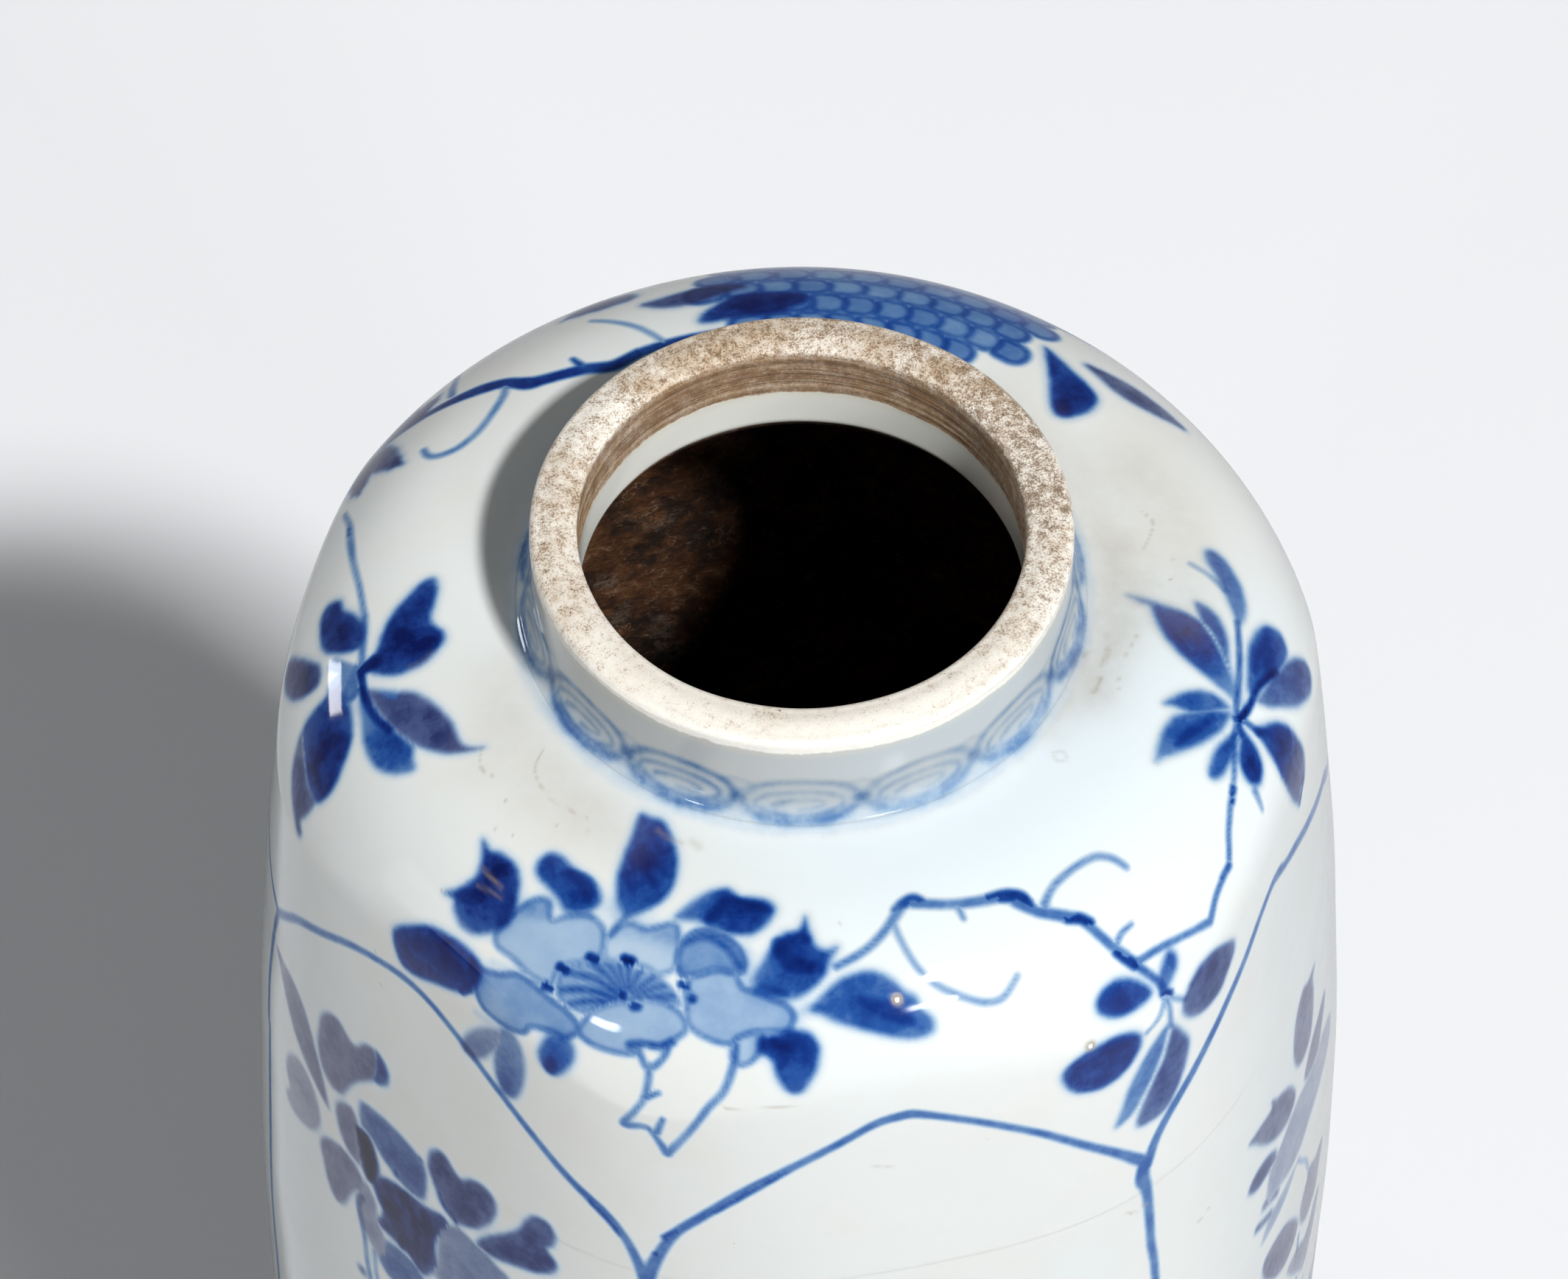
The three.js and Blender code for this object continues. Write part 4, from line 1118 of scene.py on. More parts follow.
porcelain = {  # light spreads a little way under the thick glaze
    "IOR": 1.5,
    "Specular IOR Level": 0.27,
    "Subsurface Weight": 0.3,
    "Subsurface Radius": (1.0, 1.0, 1.1),
    "Subsurface Scale": 0.0008,
}


def tinted(colour, share, tint):
    # A colour multiplied by a tint where the share is 1
    return colour.vector("MULTIPLY", blended(share, (1.0, 1.0, 1.0), tint))


def glazeGround(place):
    # The white glaze, which pools faintly blue and warms where it thins, with painted shade laid over it
    # downwards and left of the front
    slow = noise(place, 0.018, 2.0).ramped(0.35, 0.65)
    spots = noise(place, 0.11, 4.0, 0.6).ramped(0.4, 0.75)
    x, y, z = place.part(0), place.part(1), place.part(2)
    across, back, up = glazePlaces["pooled"]
    thick = z.ramped(*up) * x.ramped(*across) * y.ramped(*back)
    ground = blended(slow * 0.6, glazeLooks["white"], glazeLooks["cool"])
    ground = blended(thick * 0.8, ground, glazeLooks["blue"])
    ground = blended(spots * 0.4 * (1 - thick), ground, glazeLooks["warm"])
    # Painted shade: darker from high on the shoulder downwards
    ground = tinted(ground, z.ramped(*glazePlaces["low"]), glazeLooks["low"])
    # Painted shade on the front left of the shoulder and upper walls
    right, left, back, up = glazePlaces["paintedShadeLeft"]
    paintedShadeLeft = x.ramped(*right) * x.ramped(*left) * y.ramped(*back) * z.ramped(*up)
    return tinted(ground, paintedShadeLeft, glazeLooks["left"])


def specks(place, spacing, size, share):
    # Sparse round dots: 1 in a dot
    inputs = {"Vector": place, "Scale": 1 / spacing}
    near = place.node("ShaderNodeTexVoronoi", None, inputs, 0)
    colour = place.node("ShaderNodeTexVoronoi", None, inputs, 1)
    chosen = colour.part(0).ramped(share, share - 0.02)
    grown = colour.part(1) * 0.7 + 0.4
    return (near * spacing / grown).ramped(size, size * 0.6) * chosen


inkLooks = {  # distances in mm
    "edgeBlur": 0.56,
    "leafRagged": (0.28, 0.08),  # how far coarse and fine noise push a stroke's edge about
    "washRagged": 0.3,
    "lineRagged": (0.12, 0.06),
    "leafHalo": (1.9, 0.1, 0.13),  # how far the blue has bled past the stroke, where it is full, how much
    "washHalo": (1.6, 0.0, 0.16),
    "lineHalo": (1.1, 0.0, 0.10),
    "lineEdge": (0.52, -0.34),
    "leafStrength": (0.88, 0.20, 0.10, 0.04),  # plain, then what pools and coarse and fine noise add
    "washStrength": (0.88, 0.18, 0.08),  # plain, then what pools and the rim add
    "lineStrength": (0.84, 0.24),
    "bledStrength": (0.7, 0.5),
    "dots": (0.13, 0.35, 0.6),  # size, share and strength of the iron dots
}


def paintedColour(wire, place):
    # Cobalt under the glaze, from the distances and tones that the brush left on the mesh
    def carried(name):
        return wire.node("ShaderNodeAttribute", {"attribute_name": name}, None, 1)

    edges, tones, notes = carried("inkEdges"), carried("inkTones"), carried("inkNotes")
    coarse = noise(place, 0.75, 3.0, 0.6) - 0.5
    fine = noise(place, 2.6, 2.0, 0.6) - 0.5
    pools = noise(place, 0.30, 4.0, 0.62)
    pooled = pools.ramped(0.3, 0.7)
    blur = inkLooks["edgeBlur"]

    ragged, finely = inkLooks["leafRagged"]
    leafEdge = edges.part(1) + coarse * ragged + fine * finely
    leafCover = leafEdge.ramped(blur, -blur * 1.2)
    plain, fromPools, fromCoarse, fromFine = inkLooks["leafStrength"]
    strength = plain + (pools.ramped(0.32, 0.68) - 0.5) * fromPools + coarse * fromCoarse + fine * fromFine
    strength = strength + leafEdge.ramped(0.0, -1.8) * 0.08
    reach, full, amount = inkLooks["leafHalo"]
    halo = edges.part(1).ramped(reach, full) ** 2 * amount
    leaf = (leafCover * tones.part(1) * strength + halo * tones.part(1) * (1 - leafCover)).least(1.0)

    washEdge = edges.part(0) + coarse * inkLooks["washRagged"]
    plain, fromPools, fromRim = inkLooks["washStrength"]
    strength = plain + pooled * fromPools + washEdge.ramped(-0.9, -0.1) * fromRim
    reach, full, amount = inkLooks["washHalo"]
    halo = edges.part(0).ramped(reach, full) ** 2 * tones.part(0) * amount
    wash = washEdge.ramped(blur * 0.8, -blur * 0.8) * tones.part(0) * strength + halo

    ragged, finely = inkLooks["lineRagged"]
    lineCover = (edges.part(2) + coarse * ragged + fine * finely).ramped(*inkLooks["lineEdge"])
    plain, fromPools = inkLooks["lineStrength"]
    reach, full, amount = inkLooks["lineHalo"]
    halo = edges.part(2).ramped(reach, full) ** 2 * amount
    line = lineCover * tones.part(2) * (plain + pooled * fromPools) + halo * tones.part(2)

    plain, fromPools = inkLooks["bledStrength"]
    bled = notes.part(1) * (plain + pooled * fromPools)
    density = 1 - (1 - leaf) * (1 - wash) * (1 - line) * (1 - bled)
    violet = notes.part(0) * leafCover
    inks = []
    for name in ("inks", "violets"):
        stops = [(x, rgb(*colour)) for x, colour in glazeLooks[name]]
        inks.append(wire.node("ShaderNodeValToRGB", {"stops": stops}, {0: density}))
    colour = blended(density.ramped(0.0, 0.10), glazeGround(place), blended(violet, *inks))
    soil = (notes.part(2) * (0.5 + noise(place, 0.5, 5.0, 0.7))).least(1.0)
    size, share, strong = inkLooks["dots"]
    dots = specks(place, glazeLooks["dotSpacing"], size, share) * strong
    colour = blended(soil, colour, glazeLooks["soil"])
    colour = blended(notes.part(2).ramped(0.84, 0.92), colour, glazeLooks["chip"])
    return blended(dots, colour, glazeLooks["dot"]), soil


def glazeSurface(wire, place, soil=None):
    # Roughness and the gentle orange peel of a thick clear glaze
    smear = noise(place, 0.05, 4.0, 0.6).ramped(0.4, 0.8)
    rough = glazeLooks["roughness"] + smear * glazeLooks["smeared"]
    if soil is not None:
        rough = rough + soil * glazeLooks["soiled"]
    peel = noise(place, 0.10, 2.0, 0.5)
    grain = noise(place, 1.4, 2.0, 0.5)
    normal = bumped(wire, peel, glazeLooks["peel"], 0.30)
    return rough, bumped(wire, grain, 0.02, 0.12, normal)


def paintedGlaze(name):
    material, wire, shader = newMaterial(name)
    place = placeInMm(wire)
    colour, soil = paintedColour(wire, place)
    rough, normal = glazeSurface(wire, place, soil)
    feed(wire, shader, {"Base Color": colour, "Roughness": rough, "Normal": normal, **porcelain})
    return material


def plainGlaze(name):
    material, wire, shader = newMaterial(name)
    place = placeInMm(wire)
    dots = specks(place, glazeLooks["dotSpacing"], 0.22, 0.5) * 0.7
    colour = blended(dots, glazeGround(place), glazeLooks["plainDot"])
    rough, normal = glazeSurface(wire, place)
    feed(wire, shader, {"Base Color": colour, "Roughness": rough, "Normal": normal, **porcelain})
    return material


clayLooks = {
    "cream": rgb(236, 231, 221),
    "sand": rgb(186, 162, 130),
    "brown": rgb(154, 122, 90),
    "dark": rgb(82, 60, 40),
    "roughness": 0.66,
}


def clayColour(place, browned):
    # Unglazed body: cream, with brown dirt in its pores, more of it as browned goes from 0 to 1
    broad = noise(place, 0.11, 4.0, 0.6)
    patch = noise(place, 0.8, 5.0, 0.74)
    grain = noise(place, 4.6, 4.0, 0.7)
    tint = (broad * 0.6 + patch * 0.4).ramped(0.38, 0.62)
    colour = blended(tint * (0.12 + browned * 0.8), clayLooks["cream"], clayLooks["sand"])
    level = 0.555 - browned * 0.13
    dirt = (grain * 0.58 + patch * 0.42 - level).ramped(0.0, 0.08)
    colour = blended(dirt * 0.55, colour, clayLooks["brown"])
    deep = (grain * 0.55 + patch * 0.45 - level - 0.075).ramped(0.0, 0.04)
    colour = blended(deep * 0.6, colour, clayLooks["dark"])
    iron = specks(place, 1.9, 0.2, 0.5) * 0.75
    return blended(iron, colour, clayLooks["dark"]), grain


def bareClay(name):
    material, wire, shader = newMaterial(name)
    place = placeInMm(wire)
    colour, pores = clayColour(place, noise(place, 0.05, 2.0).ramped(0.3, 0.8))
    normal = bumped(wire, pores, 0.12, 0.5)
    rough = clayLooks["roughness"] - pores * 0.15
    feed(wire, shader, {"Base Color": colour, "Roughness": rough, "Normal": normal})
    return material


neckLooks = {
    "throat": rgb(166, 134, 102),
    "throatDark": rgb(104, 74, 50),
    "throatPale": rgb(196, 176, 150),
    "thinGlaze": rgb(238, 236, 228),
    "glazeInside": rgb(224, 225, 218),
    "yellowed": rgb(212, 203, 176),
    "outside": (0.665, 0.66, 0.665),  # partly a greyer glaze, partly painted shade: how much darker the upright wall is than the shoulder
    "outsideFrom": (237.6, 241.0),
    "browned": 0.09,
    "brownedBack": 0.54,
    "brownedRight": 0.38,
    "back": (-62.0, -16.0),
    "right": (4.0, 26.0),
    "front": (-46.0, -66.0),
    "threads": (0.03, 0.03, 4.2),  # the turned lines run level, so they are fine in height alone
}


def neckFinish(name):
    # Painted glaze up the outside, bare clay over the lip and down inside, then glaze again
    material, wire, shader = newMaterial(name)
    place = placeInMm(wire)
    colour, soil = paintedColour(wire, place)
    rough, normal = glazeSurface(wire, place, soil)
    # The section says how far a point lies inside the bare band's edges, and how far past the lip's crown
    section = wire.node("ShaderNodeAttribute", {"attribute_name": "neckSection"}, None, 1)
    edge, past = section.part(0), section.part(1)
    drift = (noise(place, 0.16, 3.0) - 0.5) * 1.1 + (noise(place, 1.1, 2.0) - 0.5) * 0.5
    bare = (edge + drift).ramped(0.16, -0.16)
    inner = past.ramped(0.2, 1.2)
    back = place.part(1).ramped(*neckLooks["back"])
    right = place.part(0).ramped(*neckLooks["right"])
    front = place.part(1).ramped(*neckLooks["front"])
    edgeStain = edge.ramped(-1.6, -0.2) * past.ramped(-0.9, 0.5) * (1 - inner)
    browned = neckLooks["browned"] + back * neckLooks["brownedBack"] + right * neckLooks["brownedRight"]
    browned = browned + noise(place, 0.09, 3.0).ramped(0.38, 0.66) * 0.34 + inner * 0.5 + edgeStain * 0.5
    clay, pores = clayColour(place, browned.least(1.0))
    clay = blended(inner * 0.58, clay, neckLooks["throat"])
    threads = noise(place.vector("MULTIPLY", neckLooks["threads"]), 1.0, 6.0, 0.7)
    streaks = (threads * 0.7 + noise(place, 0.5, 4.0, 0.7) * 0.3).ramped(0.46, 0.62)
    clay = blended(inner * streaks * 0.75, clay, neckLooks["throatDark"])
    clay = blended(inner * threads.ramped(0.46, 0.32) * 0.5, clay, neckLooks["throatPale"])
    thinGlaze = (edge.ramped(-1.9, -0.5) + front * 0.5).least(1.0) * (past - front * 1.1).ramped(-2.2, -3.4)
    clay = blended(thinGlaze * (0.6 + front * 0.25), clay, neckLooks["thinGlaze"])
    colour = blended(inner, colour, neckLooks["glazeInside"])
    # The upright outside of the neck is darker than the shoulder: partly a greyer glaze, partly painted shade
    outer = past.ramped(0.0, -1.0) * place.part(2).ramped(*neckLooks["outsideFrom"])
    colour = tinted(colour, outer, neckLooks["outside"])
    colour = blended(edge.ramped(1.2, 0.0) * 0.30, colour, neckLooks["yellowed"])
    clayNormal = bumped(wire, pores + threads * inner * 1.5, 0.16, 0.55)
    normal = wire.node("ShaderNodeMix", {"data_type": "VECTOR"}, {0: bare, 4: normal, 5: clayNormal}, 1)
    dull = clayLooks["roughness"] - pores * 0.2 - thinGlaze * 0.34
    feed(wire, shader, {"Base Color": blended(bare, colour, clay), "Normal": normal,
                        "Roughness": rough + bare * (dull - rough), **porcelain})
    return material


residueLooks = {
    "browns": [(0.36, rgb(10, 6, 4)), (0.46, rgb(42, 24, 12)), (0.54, rgb(78, 46, 23)),
               (0.61, rgb(104, 70, 42)), (0.70, rgb(138, 116, 92))],
    "bloom": rgb(126, 108, 92),
    "veins": rgb(150, 134, 112),
    "crumbs": rgb(26, 17, 11),
    "roughness": 0.55,
    "bump": 0.6,
}


def residue(name):
    # The inside: years of dried brown sediment over the unglazed wall
    material, wire, shader = newMaterial(name)
    place = placeInMm(wire)
    broad = noise(place, 0.09, 5.0, 0.62, 0.2)
    middle = noise(place, 0.34, 6.0, 0.68, 0.1)
    small = noise(place, 1.3, 3.0, 0.6)
    stops = {"stops": residueLooks["browns"]}
    colour = wire.node("ShaderNodeValToRGB", stops, {0: broad * 0.5 + middle * 0.5})
    bloom = noise(place, 0.14, 4.0, 0.62, 0.2).ramped(0.50, 0.66) * small.ramped(0.35, 0.6)
    colour = blended(bloom * 0.5, colour, residueLooks["bloom"])
    veins = wire.math("ABSOLUTE", noise(place, 0.22, 3.0, 0.6, 0.3) - 0.5)
    veins = veins.ramped(0.014, 0.0) * middle.ramped(0.4, 0.6)
    colour = blended(veins * 0.45, colour, residueLooks["veins"])
    colour = blended(small.ramped(0.56, 0.68) * 0.6, colour, residueLooks["crumbs"])
    normal = bumped(wire, middle + small * 0.3, residueLooks["bump"], 0.7)
    rough = residueLooks["roughness"] + small * 0.25
    feed(wire, shader, {"Base Color": colour, "Roughness": rough, "Normal": normal})
    return material


def insideRing(theta, station, wall):
    # The inside of the wall that lies behind a station
    point = outside(theta, np.full(theta.shape, float(station)))
    ends = (station + 0.5, station - 0.5)
    slopeR = np.subtract(*np.interp(ends, stationList, radiusList))
    slopeZ = np.subtract(*np.interp(ends, stationList, heightList))
    length = math.hypot(slopeR, slopeZ)
    return drawnIn(point, wall * -slopeZ / length, point[:, 2] - wall * slopeR / length)


def wallPiece(name, top, bottom, count, spacing, insideRows):
    # A stretch of painted wall between two stations, with the dried residue inside
    theta = columns(count)
    stations = np.linspace(top, bottom, int((bottom - top) / spacing) + 1)
    rings = [outside(theta, np.full(count, s)) for s in stations]
    rings += insideRows(theta)
    rows = len(stations)
    along = np.concatenate([np.linspace(0, 0.86, rows), np.linspace(0.88, 1.0, len(rings) - rows + 1)])
    made = makeMesh(name, rings, True, [painted, inside], lambda row: 0 if row < rows - 1 else 1, along)
    # A shape is placed by its degrees, so below the arches the radius is the facets' mean
    drawn = form["facetDepth"] / 2 * (stations > form["archesEnd"])
    brush = Brush(theta, stations, np.interp(stations, stationList, radiusList) - drawn)
    paintVase(brush)
    if top < 1:
        paintBackShoulder(brush)
        paintScrolls(brush, scrollBand["middle"], form["neckRadius"])
    brush.give(made)
    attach(made, "vase")
    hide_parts(name.replace("vase_", ""))
    print("made", name, len(made.data.vertices), "points")


painted = paintedGlaze("paintedGlaze")
clear = plainGlaze("clearGlaze")
inside = residue("driedResidue")
clay = bareClay("bareClay")
shoulderEnd = float(stationOf(shoulderFoot))
bellyEnd = float(stationOf(form["bellyHeight"]))
bodyEnd = float(stationOf(form["baseTop"]))
footStart = float(stationOf(form["footHeight"]))


shoulderInside = {
    "highest": 7.0,  # the station where the dome's inside turns into the throat
    "thinning": 1.4,  # the wall thins by this towards the neck
    "thinningReach": 22,
    "throat": (  # radius and height
        (31.5, 234.1), (29, 234.3), (27, 234.7), (25.4, 235.3), (24.4, 236.0), (23.8, 236.8), (23.5, 237.5)),
}


def underShoulder(theta):
    # From the foot of the shoulder up inside the dome and round into the throat
    sizes = shoulderInside
    rows = []
    for s in np.linspace(shoulderEnd, sizes["highest"], 40):
        wall = form["wall"] - sizes["thinning"] * max(0.0, 1 - s / sizes["thinningReach"])
        rows.append(insideRing(theta, s, wall))
    return rows + [ringAt(theta, radius, z) for radius, z in sizes["throat"]]


def behindWall(top, bottom, count):
    return lambda theta: [insideRing(theta, s, form["wall"]) for s in np.linspace(bottom, top, count)]


# Name, first and last station, points round, mm between rows, rows inside
wallPiece("vase_shoulder", 0.0, shoulderEnd, 1080, 0.36, underShoulder)
wallPiece("vase_upper_body", shoulderEnd, bellyEnd, 900, 0.5, behindWall(shoulderEnd, bellyEnd, 16))
wallPiece("vase_lower_body", bellyEnd, bodyEnd, 720, 0.75, behindWall(bellyEnd, bodyEnd, 32))

neck = {
    "lipRound": 1.0,
    "lipCrown": 0.25,
    "bareDepth": 6.7,
    "unglazedBelow": 0.9,
    "groove": 0.05,
    "uneven": 0.10,
    "lipUneven": 0.05,
    "flareInside": 0.4,
}


def neckPiece():
    # Upright wall, crowned lip and the throat, with faint throwing grooves inside
    count = 720
    theta = columns(count)
    a = np.radians(theta)
    topZ, inner, outer = form["vaseHeight"], form["mouthRadius"], form["neckRadius"]
    lip, crown = neck["lipRound"], neck["lipCrown"]
    stations = np.linspace(0, -(form["neckHeight"] - lip), 48)
    rings = [outside(theta, np.full(count, s)) for s in stations]
    profile = arc(0, 90, 9, (outer - lip, topZ - lip), (lip, lip - crown))[1:]
    for share in np.linspace(0, 1, 14)[1:-1]:
        radius = outer - lip - share * (outer - inner - 2 * lip)
        profile.append((radius, topZ - crown + crown * math.sin(math.pi * share)))
    profile += arc(90, 0, 9, (inner + lip, topZ - lip), (-lip, lip - crown))
    for z in np.linspace(topZ - lip, neckFoot, 44)[1:]:
        groove = neck["groove"] * math.sin(4.4 * z + 1.5 * math.sin(0.9 * z)) * (z > topZ - neck["bareDepth"])
        flare = neck["flareInside"] * max(0.0, neckFoot + 1.0 - z) ** 2
        profile.append((inner + groove + flare, z))
    for radius, z in profile:
        wave = np.sin(2 * a + 0.7) * 0.8 + np.sin(5 * a + z * 0.3) * 0.3 + np.sin(13 * a + z) * 0.12
        rise = neck["lipUneven"] * (np.sin(3 * a + 1) + 0.6 * np.sin(9 * a)) * (1 if z > topZ - 1.5 else 0)
        rings.append(ringAt(theta, radius + neck["uneven"] * wave, z + rise))
    # How far along the section each ring lies: up the outside, over the lip, down inside
    rows, wallRows = len(rings), len(stations)
    steps = [np.linalg.norm(rings[i + 1][0] - rings[i][0]) for i in range(rows - 1)]
    steps = np.concatenate([[0], np.cumsum(steps)])
    crownRow, throatRow = wallRows + 24, wallRows + 29
    lipStart = steps[wallRows - 1] - neck["unglazedBelow"]
    lipEnd = steps[throatRow] + neck["bareDepth"] - lip
    clayEdge = np.maximum(lipStart - steps, steps - lipEnd)
    along = np.concatenate([steps / steps[-1] * 0.97, [1.0]])
    made = makeMesh("vase_neck", rings, True, [neckFinish("neckFinish")], lambda row: 0, along, 50)
    pastCrown = steps - steps[crownRow]
    marks = [np.repeat(clayEdge, count), np.repeat(pastCrown, count), np.zeros(rows * count)]
    addVectors(made, "neckSection", np.stack(marks, -1))
    brush = Brush(theta, stations, np.full(wallRows, outer + 0.3))
    paintVase(brush)
    paintScrolls(brush, scrollBand["middle"], outer)
    brush.give(made)
    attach(made, "vase")
    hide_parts("neck")
    print("made vase_neck", len(made.data.vertices), "points")


neckPiece()

foot = {"bottomRound": 1.3, "floorWaves": 0.25}


def basePiece(theta, start, end):
    # The slab: its floor inside, its edge in line with the wall, and its glazed underside
    edge = [outside(theta, np.full(len(theta), s)) for s in np.linspace(start, end, 12)]
    rings = []
    for share in np.linspace(0.02, 0.98, 22):
        rings.append(scaledIn(edge[0], share, form["baseTop"] + foot["floorWaves"] * math.sin(share * 9)))
    floorRows = len(rings) - 1
    rings += edge
    rings += [scaledIn(edge[-1], share, edge[-1][:, 2]) for share in np.linspace(0.98, 0.02, 16)]
    slab = makeMesh("vase_base_slab", rings, False, [clear, inside], lambda row: 1 if row < floorRows else 0)
    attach(slab, "vase")
    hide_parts("base_slab")
    print("made the base")


def footPiece(theta, start):
    # The ring that the vase stands on: glazed down to a bare, rounded edge
    soft, wall = foot["bottomRound"], form["footWall"]
    outer = [outside(theta, np.full(len(theta), s)) for s in np.linspace(start, lastStation - soft, 16)]
    base = outside(theta, np.full(len(theta), lastStation))
    # How far in from the outline and how high: round the outer edge, across, round the inner edge, up
    section = [(soft - r, soft - z) for r, z in arc(10, 90, 8, (0, 0), (soft, soft))]
    section += [(soft + share * (wall - 2 * soft), 0.0) for share in (0.25, 0.5, 0.75)]
    section += [(wall - soft + r, soft - z) for r, z in arc(90, 0, 8, (0, 0), (soft, soft))]
    section += [(wall, z) for z in np.linspace(soft, form["footHeight"], 10)[1:]]
    rings = outer + [drawnIn(base, inward, z) for inward, z in section]
    bare = range(11, len(outer) + 20)
    ring = makeMesh("vase_foot_ring", rings, True, [clear, clay], lambda row: 1 if row in bare else 0)
    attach(ring, "vase")
    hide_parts("foot_ring")
    print("made the foot")


basePiece(columns(360), bodyEnd, footStart)
footPiece(columns(360), footStart)

cover = {
    "plugRadius": 22.4,
    "plugWall": 4.0,
    "plugHeight": 9.0,
    "plugSoft": 0.6,
    "radius": 31.5,
    "edge": 2.6,
    "rise": 15.0,
    "wall": 4.0,
    "knobNeck": 4.6,
    "knobRadius": 8.0,
    "knobHeight": 14.0,
    "knobNeckHeight": 2.8,
    "knobFullness": 0.8,
    "around": 480,  # points round the plug and cap
    "knobAround": 240,
}
coverScrolls = {"count": 16, "first": 8.0, "halfHeight": 3.0, "halfWidth": 5.6}
coverPainting = {  # stations in mm down from the middle of the crown
    "flowersAt": 14.5,
    "flowerRadius": 15.5,  # the cap's own radius there
    "sprigAt": 15.0,
    "sprigLeaves": ((0, -90), (2.2, -30), (-2.2, -150), (1.6, 50), (-1.6, 130)),  # mm across, turn
    "sprigSize": 3.2,
    "flowerSize": 4.6,
    "petalRings": (0.62, 0.3),
    "stem": ((12, 16), (22, 13.6), (33, 15.4), (46, 14.6)),  # degrees past a flower, station
    "scrollsAbove": 5.6,  # from the rim
    "rimLines": ((1.0, 0.62, 0.5), (9.8, 0.5, 0.25)),  # from the rim, tone, half width
    "crownLine": (6.0, 0.6, 0.4),  # station, tone, half width
    "knobTip": (0.9, 3.2),
    "knobLines": ((7.2, 0.75, 0.5), (5.0, 0.4, 0.25)),
}
coverHollow = cover["plugRadius"] - cover["plugWall"]
coverTop = cover["plugHeight"] + cover["edge"]
coverCrown = coverTop + cover["rise"]


def turnedRings(profile, count):
    return [ringAt(columns(count), r, float(z), coverY) for r, z in profile]


def lengthAlong(outline):
    return np.concatenate([[0], np.cumsum(np.hypot(*np.diff(np.array(outline), axis=0).T))])


def coverPlug():
    # The plug that sits in the mouth: bare clay with softened edges
    soft, radius, height = cover["plugSoft"], cover["plugRadius"], cover["plugHeight"]
    profile = [(coverHollow, height), (coverHollow, soft), (coverHollow + 0.2, 0.2), (coverHollow + soft, 0),
               (radius - soft, 0), (radius - 0.2, 0.2), (radius, soft)]
    profile += [(radius + 0.04 * math.sin(4 * z), z) for z in np.linspace(1, height - 0.2, 24)]
    profile.append((radius, height))
    plug = makeMesh("cover_plug_bare", turnedRings(profile, cover["around"]), True, [clay], lambda row: 0)
    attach(plug, "cover")
    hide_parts("cover_plug")


def coverFlowers(brush):
    # Blossoms and sprigs in turn round the cap, joined by a stem
    chance = np.random.default_rng(21)
    degree = math.radians(coverPainting["flowerRadius"])
    station = coverPainting["flowersAt"]
    for i in range(6):
        theta = -150 + 60 * i
        if i % 2:
            size = coverPainting["sprigSize"]
            for x, turn in coverPainting["sprigLeaves"]:
                spine = leafSpine(x, coverPainting["sprigAt"], turn, size * 1.35, size * 0.75)
                spine[:, 0] = theta + spine[:, 0] / degree
                brush.leaf(chance.uniform(0.8, 0.96), spine, 0.1)
        else:
            size = coverPainting["flowerSize"]
            for ring, out in enumerate(coverPainting["petalRings"]):
                for k in range(6):
                    x, y = onCircle(0, station, size * out, 60 * k + 20 * ring)
                    lobes = [[theta + (x + half) / degree, y, size * 0.3] for half in (-0.4, 0.4)]
                    brush.petal(0.3, np.array(lobes), 0.46)
            brush.line(0.85, f"{theta - 1} {station} .6, {theta + 1} {station} .6")
        brush.line(0.55, ", ".join(f"{theta + x} {y} .3" for x, y in coverPainting["stem"]))


def coverCap():
    # From the crown down the painted dome, over the edge, and back up inside
    radius, edge, neckRadius = cover["radius"], cover["edge"], cover["knobNeck"]
    outline = [(0.6, coverCrown), (3.0, coverCrown)]
    outline += arc(90, 0, 90, (neckRadius, coverTop), (radius - neckRadius, cover["rise"]))
    # The edge turns from its top, 10 degrees from upright, round to its underside
    edgeRound = 1.0
    middle = coverTop - edge / 2
    outline += arc(80, -80, 12, (radius - edgeRound, middle), (edgeRound, edge / 2))
    seat = [(r, cover["plugHeight"]) for r in np.linspace(radius - 1.2, coverHollow, 14)]
    hollowRise = edge + cover["rise"] - cover["wall"]
    hollow = arc(0, 88, 24, (0, cover["plugHeight"]), (coverHollow, hollowRise))[1:]
    rings = turnedRings(outline + seat + hollow, cover["around"])
    bareFrom, glazedFrom = len(outline) - 1, len(outline) + 13
    cap = makeMesh("cover_cap_painted", rings, False, [painted, clear, clay],
                   lambda row: 0 if row < bareFrom else 2 if row < glazedFrom else 1, sharp=50)
    length = lengthAlong(outline)
    brush = Brush(columns(cover["around"]), length, np.array([r for r, z in outline]).clip(3))
    rim = length[-13]
    paintScrolls(brush, rim - coverPainting["scrollsAbove"], radius - 2.0, coverScrolls, -1)
    rimLines = [(rim - above, tone, half) for above, tone, half in coverPainting["rimLines"]]
    for station, tone, half in rimLines + [coverPainting["crownLine"]]:
        brush.line(tone, hoop(station, half))
    coverFlowers(brush)
    brush.give(cap)
    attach(cap, "cover")
    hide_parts("cover_cap")


